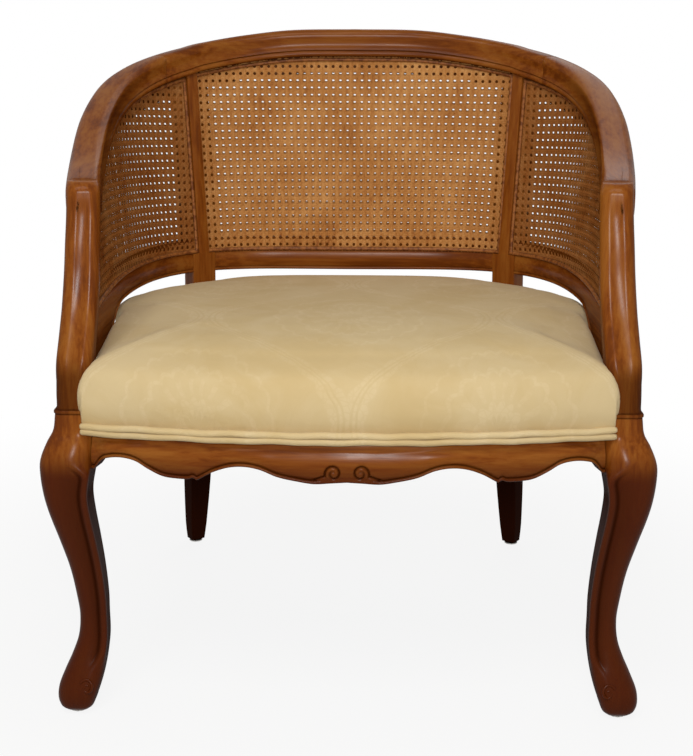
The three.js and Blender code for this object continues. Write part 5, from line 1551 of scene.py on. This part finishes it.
@dataclass
class Seat:
    """The tight seat: a crowned cover over foam, and the double welt round its foot."""

    shelf: float = 0.326
    rail_top: float = 0.340
    side_z: float = 0.366
    crown_z: float = 0.431
    cover: float = 0.0025
    swell: float = 0.006
    tuck: float = 0.0096
    side_lift: float = 0.040
    corner: float = 0.008
    crown_place: float = 0.5446
    voxel: float = 0.006
    cap: float = 0.0038
    fullness: float = 1.0
    corner_fill: float = 0.011
    start_inset: float = 0.001
    welt_reach: float = 0.2845
    crown: tuple = ((1, 0), (0.996, 0.2), (0.985, 0.38), (0.968, 0.49), (0.945, 0.57), (0.905, 0.67), (0.85, 0.76), (0.74, 0.86), (0.6, 0.93), (0.4, 0.975), (0.2, 0.993), (0.04, 1))

    def lift(self, y: float) -> float:
        """How much higher the side stands at a depth: it rises beside the bracket and falls behind it."""
        bracket_end = LINES.low.at(1.5)[0].y - SHIFT_Y
        rise = smoothstep(y, LINES.leg_y - LINES.leg_block / 3, bracket_end - 0.052)
        fall = smoothstep(y, bracket_end + 0.026, bracket_end + 0.208)
        return self.side_lift * rise * (1 - 0.9 * fall)

    def frames(self) -> list[tuple[Vector, Vector, float]]:
        """Points round the seat with their outward direction and how far the side swells there."""
        span = LINES.apron_span() - LINES.gap
        right = [LINES.front(x) for x in steps(0, span, 24)]
        point, _ = LINES.front(0.294 - self.corner)
        right.append((point, Vector((0.5, -1)).normalized()))
        start = LINES.seat.moved(2, -0.214 - LINES.leg_y - LINES.leg_block / 2 - LINES.gap)
        places = [*steps(start, LINES.seat.moved(1, 0.014), 34), *steps(LINES.seat.moved(1, -0.014), 0, 24)]
        right += [LINES.seat.at(place)[:2] for place in places]
        left = [(Vector((-p.x, p.y)), Vector((-o.x, o.y))) for p, o in right[1:-1]]
        return [(p, o, self.bulge(p.y - SHIFT_Y)) for p, o in [*right, *reversed(left)]]

    def bulge(self, y: float) -> float:
        """How far the side swells at a depth: drawn in beside the arm brackets."""
        bracket_end = LINES.low.at(1.5)[0].y - SHIFT_Y
        behind = smoothstep(y, bracket_end - 0.052, bracket_end)
        before = smoothstep(-y, -LINES.leg_y, LINES.leg_block / 2 - LINES.leg_y)
        return between(-self.tuck, self.swell, max(behind, before))

    def shell(self) -> bpy.types.Object:
        """The crowned form of the seat, slightly small, before it is blown up."""
        frames = self.frames()
        front_y = LINES.front(0)[0].y - 0.005
        crown_y = between(front_y, 0.250 + SHIFT_Y, self.crown_place)

        def ring(size: float, height: Callable[[float], float], swell: float) -> Ring:
            """One level of the form."""
            points = []
            for point, out, bulge in frames:
                reach = self.cover + LINES.gap + swell * bulge - self.start_inset
                x, y = point.x + out.x * reach, point.y + out.y * reach - crown_y
                points.append(Vector((x * size, y * size + crown_y, height(self.lift(point.y - SHIFT_Y)))))
            return points

        top = self.crown_z - self.start_inset
        rings = [ring(1, lambda lift: self.shelf + 0.0005, 0), ring(1, lambda lift: self.rail_top, 0)]
        for share, swell in ((0.2, 0.35), (0.35, 0.6), (0.6, 0.85), (0.8, 0.96)):
            rings.append(ring(1, lambda lift, k=share: between(self.rail_top, self.side_z + lift, k), swell))
        for size, share in self.crown:
            rings.append(ring(size, lambda lift, k=share: between(self.side_z + lift, top, k), 1))
        return bar("seat_cushion", rings)

    def blow_up(self, piece: bpy.types.Object) -> None:
        """Stretches the cover with a short cloth simulation and keeps its result."""
        start = np.zeros(len(piece.data.vertices) * 3)
        piece.data.vertices.foreach_get("co", start)
        start = start.reshape(-1, 3)
        normal = np.zeros(len(start) * 3)
        piece.data.vertices.foreach_get("normal", normal)
        normal = normal.reshape(-1, 3)
        held = piece.vertex_groups.new(name="tacked")
        held.add([int(i) for i in np.nonzero(start[:, 2] < self.rail_top + 0.003)[0]], 1.0, "REPLACE")
        cloth = piece.modifiers.new("stretch", "CLOTH")
        cloth.settings.use_pressure = True
        cloth.settings.uniform_pressure_force = 4
        cloth.settings.effector_weights.gravity = 0
        cloth.settings.quality = 5
        cloth.settings.vertex_group_mass = held.name
        cloth.point_cache.frame_start = 1
        cloth.point_cache.frame_end = 20
        for number in range(1, 21):
            bpy.context.scene.frame_set(number)
        result = piece.evaluated_get(bpy.context.evaluated_depsgraph_get())
        moved = np.zeros(len(start) * 3)
        result.data.vertices.foreach_get("co", moved)
        moved = moved.reshape(-1, 3)
        piece.modifiers.remove(cloth)
        bpy.context.scene.frame_set(1)
        step = moved - start
        inwards = np.minimum(0, (step * normal).sum(1, keepdims=True))
        step -= normal * inwards * self.fullness
        length = np.linalg.norm(step, axis=1, keepdims=True)
        final = start + step * np.minimum(1, self.cap / np.maximum(length, 1e-9))
        final[:, 2] = np.minimum(final[:, 2], self.crown_z)
        piece.data.vertices.foreach_set("co", final.ravel())
        piece.data.update()

    def fill_corners(self, piece: bpy.types.Object) -> None:
        """Draws the cover's lower front corners out to the ends of the welt."""
        for vertex in piece.data.vertices:
            x, y, z = vertex.co
            near = smoothstep(-y, 0.225, 0.256) * smoothstep(abs(x), 0.235, 0.268) * (1 - smoothstep(z, 0.346, 0.382))
            if near:
                vertex.co.x = math.copysign(min(abs(x) + self.corner_fill * near, max(abs(x), self.welt_reach)), x)
        piece.data.update()

    def lay_cloth(self, piece: bpy.types.Object) -> None:
        """Writes cloth coordinates in metres, folded down over the sides, and the painted shade at the foot of the
        cover and under the welts.
        """
        mesh = piece.data
        co = np.zeros(len(mesh.vertices) * 3)
        mesh.vertices.foreach_get("co", co)
        co = co.reshape(-1, 3)
        normal = np.zeros(len(mesh.vertices) * 3)
        mesh.vertices.foreach_get("normal", normal)
        normal = normal.reshape(-1, 3)
        level = np.maximum(np.hypot(normal[:, 0], normal[:, 1]), 1e-6)
        drop = np.maximum(0, 0.4 - co[:, 2])
        flat = co[:, :2] + normal[:, :2] / level[:, None] * drop[:, None] * np.minimum(1, level * 1.4)[:, None]
        loops = np.zeros(len(mesh.loops), np.int32)
        mesh.loops.foreach_get("vertex_index", loops)
        layer = mesh.uv_layers.get("cloth") or mesh.uv_layers.new(name="cloth")
        layer.data.foreach_set("uv", flat[loops].ravel())
        soil = mesh.attributes.get("soil") or mesh.attributes.new("soil", "FLOAT", "POINT")
        # Painted shade below 0.334 m, at the foot of the cover and the underside of the welts.
        value = np.clip((0.334 - co[:, 2]) / 0.008, 0, 1) * 0.5
        soil.data.foreach_set("value", value.astype(np.float32))

    def build(self, finishes: Finishes) -> None:
        """Makes the cushion and the welts."""
        piece = self.shell()
        take(piece)
        piece.data.remesh_voxel_size = self.voxel
        bpy.ops.object.voxel_remesh()
        self.blow_up(piece)
        even = piece.modifiers.new("even", "SMOOTH")
        even.factor = 0.5
        even.iterations = 3
        bpy.ops.object.modifier_apply(modifier=even.name)
        fine = piece.modifiers.new("fine", "SUBSURF")
        fine.levels = fine.render_levels = 1
        bpy.ops.object.modifier_apply(modifier=fine.name)
        bpy.ops.object.shade_smooth()
        self.fill_corners(piece)
        self.lay_cloth(piece)
        dress(piece, finishes.damask, "damask", "seat_cover", "seat_foam")
        self.welts(finishes)

    def welt(self, name: str, frames: Sequence[tuple[Vector, Vector]]) -> bpy.types.Object:
        """Two cords side by side along a line."""
        radius, rings_made = 0.0037, []
        middle = self.cover + 2 * LINES.gap + radius
        turns = [2 * math.pi * s / 12 for s in range(12)]
        for level in (0, 1):
            base = self.shelf + radius + level * radius * 1.86
            rings = []
            for k, (point, out) in enumerate(frames):
                end = min(k, len(frames) - 1 - k)
                near = (0.35, 0.75, 0.93)[end] if end < 3 else 1.0
                r = radius * near
                z = base + 0.0004 * math.sin(point.x * 61 + level * 2) + 0.0003 * math.sin(point.x * 137 + point.y * 90)
                rings.append([Vector((point.x + out.x * (middle + r * math.cos(t)), point.y + out.y * (middle + r * math.cos(t)), z + r * math.sin(t))) for t in turns])
            rings_made.append(soften(bar(name, rings), angle=70))
        piece = joined(rings_made, name)
        self.lay_cloth(piece)
        return piece

    def welts(self, finishes: Finishes) -> None:
        """The double welt along the front, the back and the sides."""
        reach = self.welt_reach
        tips = [reach - 0.0006, reach - 0.0002]
        xs = [*(-x for x in reversed(tips)), *steps(-reach + 0.0025, reach - 0.0025, 110), *tips]
        front = self.welt("front_cords", [LINES.front(x) for x in xs])
        dress(front, finishes.damask, "damask", "front_welt")
        back = LINES.seat.moved(1, -0.0175)
        piece = self.welt("back_cords", [LINES.seat.at(place)[:2] for place in steps(-back, back, 60)])
        dress(piece, finishes.damask, "damask", "back_welt")
        start = LINES.seat.moved(1, 0.0175)
        end = LINES.seat.moved(2, -0.214 - LINES.leg_y - LINES.leg_block / 2 - 0.001)
        right = self.welt("side_cords_right", [LINES.seat.at(place)[:2] for place in steps(start, end, 60)])
        left = mirrored(right, "side_cords_left")
        dress(right, finishes.damask, "damask", "side_welt_right")
        dress(left, finishes.damask, "damask", "side_welt_left")


@dataclass
class HiddenPieces:
    """The pieces inside and under the chair that keep their frame shapes."""

    kinds: tuple = (
        ("crest_dowel", "bare"), ("arm_dowel", "bare"), ("support_dowel", "bare"), ("front_corner_block", "bare"),
        ("rear_corner_block", "bare"), ("front_block_screw", "steel"), ("rear_block_screw", "steel"),
        ("front_glide", "steel"), ("rear_glide", "steel"), ("seat_webbing", "jute"), ("seat_deck", "jute"), ("dust_cover", "black"),
    )

    def build(self, finishes: Finishes) -> None:
        """Gives each of them its finish."""
        for name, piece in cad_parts.items():
            for kind, finish in self.kinds:
                if name.startswith(kind):
                    piece.data.materials.clear()
                    piece.data.materials.append(getattr(finishes, finish))
                    LOG.info("%s: %s", name, finish)


# Studio


@dataclass
class Studio:
    """A pale floor, soft light from the front and above, and the camera where the photograph was taken from."""

    camera_place: tuple[float, float, float] = (0.022, -1.59375, 0.722)
    yaw: float = -1.0
    pitch: float = 13.95
    roll: float = 0.15
    focal_px: float = 1300.0
    floor_tone: tuple = colour(208, 206, 202)

    def build(self) -> None:
        """Sets up the whole studio."""
        self.floor()
        self.world()
        self.lamp("key", (-0.25, -1.5, 2.4), (0.0, 0.0, 0.45), 1.2, 29)
        self.lamp("front", (0.04, -1.63, 0.84), (0.0, 0.0, 0.45), 0.16, 11)
        self.lamp("back", (0.3, 1.6, 1.8), (0.0, 0.0, 0.45), 1.3, 8)
        self.camera()

    def floor(self) -> None:
        """A large pale floor."""
        deselect()
        bpy.ops.mesh.primitive_plane_add(size=30, location=(0, 0, -0.0006))
        floor = bpy.context.object
        floor.name = "floor"
        g = Graph("floor")
        ray = g.node("ShaderNodeLightPath", out="Is Camera Ray")
        for other in ("Is Glossy Ray", "Is Transmission Ray"):
            ray = ray.most(g.node("ShaderNodeLightPath", out=other))
        tone = g.mix(g.noise((2, 2, 2)), self.floor_tone, colour(214, 212, 209))
        plain = g.node("ShaderNodeBsdfDiffuse", None, {"Color": tone})
        white = g.node("ShaderNodeEmission", None, {"Color": (1, 1, 1, 1), "Strength": 1.0})
        where = g.node("ShaderNodeTexCoord", out="Object")
        reach = g.node("ShaderNodeVectorMath", {"operation": "LENGTH"}, {0: where}, "Value")
        both = g.node("ShaderNodeMixShader", None, {0: ray * (reach.step(0.35, 1.2) * 0.12 + 0.88), 1: plain, 2: white})
        g.tree.links.new(both.socket, g.output.inputs["Surface"])
        floor.data.materials.append(g.material)

    def world(self) -> None:
        """White behind the object, and an even soft light from all round."""
        world = bpy.data.worlds.new("studio")
        bpy.context.scene.world = world
        world.use_nodes = True
        tree = world.node_tree
        back = tree.nodes["Background"]
        path = tree.nodes.new("ShaderNodeLightPath")
        seen = path.outputs["Is Camera Ray"]
        for ray in ("Is Glossy Ray", "Is Transmission Ray"):
            either = tree.nodes.new("ShaderNodeMath")
            either.operation = "MAXIMUM"
            tree.links.new(seen, either.inputs[0])
            tree.links.new(path.outputs[ray], either.inputs[1])
            seen = either.outputs[0]
        level = tree.nodes.new("ShaderNodeMapRange")
        level.inputs["To Min"].default_value = 0.18
        level.inputs["To Max"].default_value = 1.0
        tree.links.new(seen, level.inputs["Value"])
        tree.links.new(level.outputs[0], back.inputs["Strength"])
        back.inputs["Color"].default_value = (1, 1, 1, 1)

    def lamp(self, name: str, place: tuple, target: tuple, size: float, power: float) -> None:
        """One soft square lamp.

        Args:
            name: Its name.
            place: Where it stands.
            target: What it points at.
            size: Side of the square.
            power: Watts.
        """
        deselect()
        bpy.ops.object.light_add(type="AREA", location=place)
        lamp = bpy.context.object
        lamp.name = name
        lamp.data.shape = "SQUARE"
        lamp.data.size = size
        lamp.data.energy = power
        lamp.rotation_euler = (Vector(target) - Vector(place)).to_track_quat("-Z", "Y").to_euler()

    def camera(self) -> None:
        """The camera at the photograph's viewing angle."""
        deselect()
        bpy.ops.object.camera_add(location=self.camera_place)
        camera = bpy.context.object
        yaw, pitch, roll = (math.radians(v) for v in (self.yaw, self.pitch, self.roll))
        forward = Vector((math.sin(yaw) * math.cos(pitch), math.cos(yaw) * math.cos(pitch), -math.sin(pitch)))
        aim = forward.to_track_quat("-Z", "Y").to_matrix() @ Matrix.Rotation(roll, 3, "Z")
        camera.rotation_euler = aim.to_euler()
        camera.data.sensor_width = 36
        camera.data.lens = self.focal_px * 36 / IMAGE_HEIGHT
        bpy.context.scene.camera = camera
        bpy.context.scene.view_settings.view_transform = "Standard"


def main() -> None:
    """Builds the chair, sub-assembly by sub-assembly, and its studio."""
    logging.basicConfig(level=logging.INFO, format="%(message)s")
    Studio().build()
    finishes = Finishes()
    for group in (TopRail(), ArmSupports(), FrontLegs(), Apron(), RearPosts(), LowRails(), SeatRails(), CanePanels(), Seat(), HiddenPieces()):
        LOG.info("%s", type(group).__name__)
        group.build(finishes)


if __name__ == "__main__":
    main()
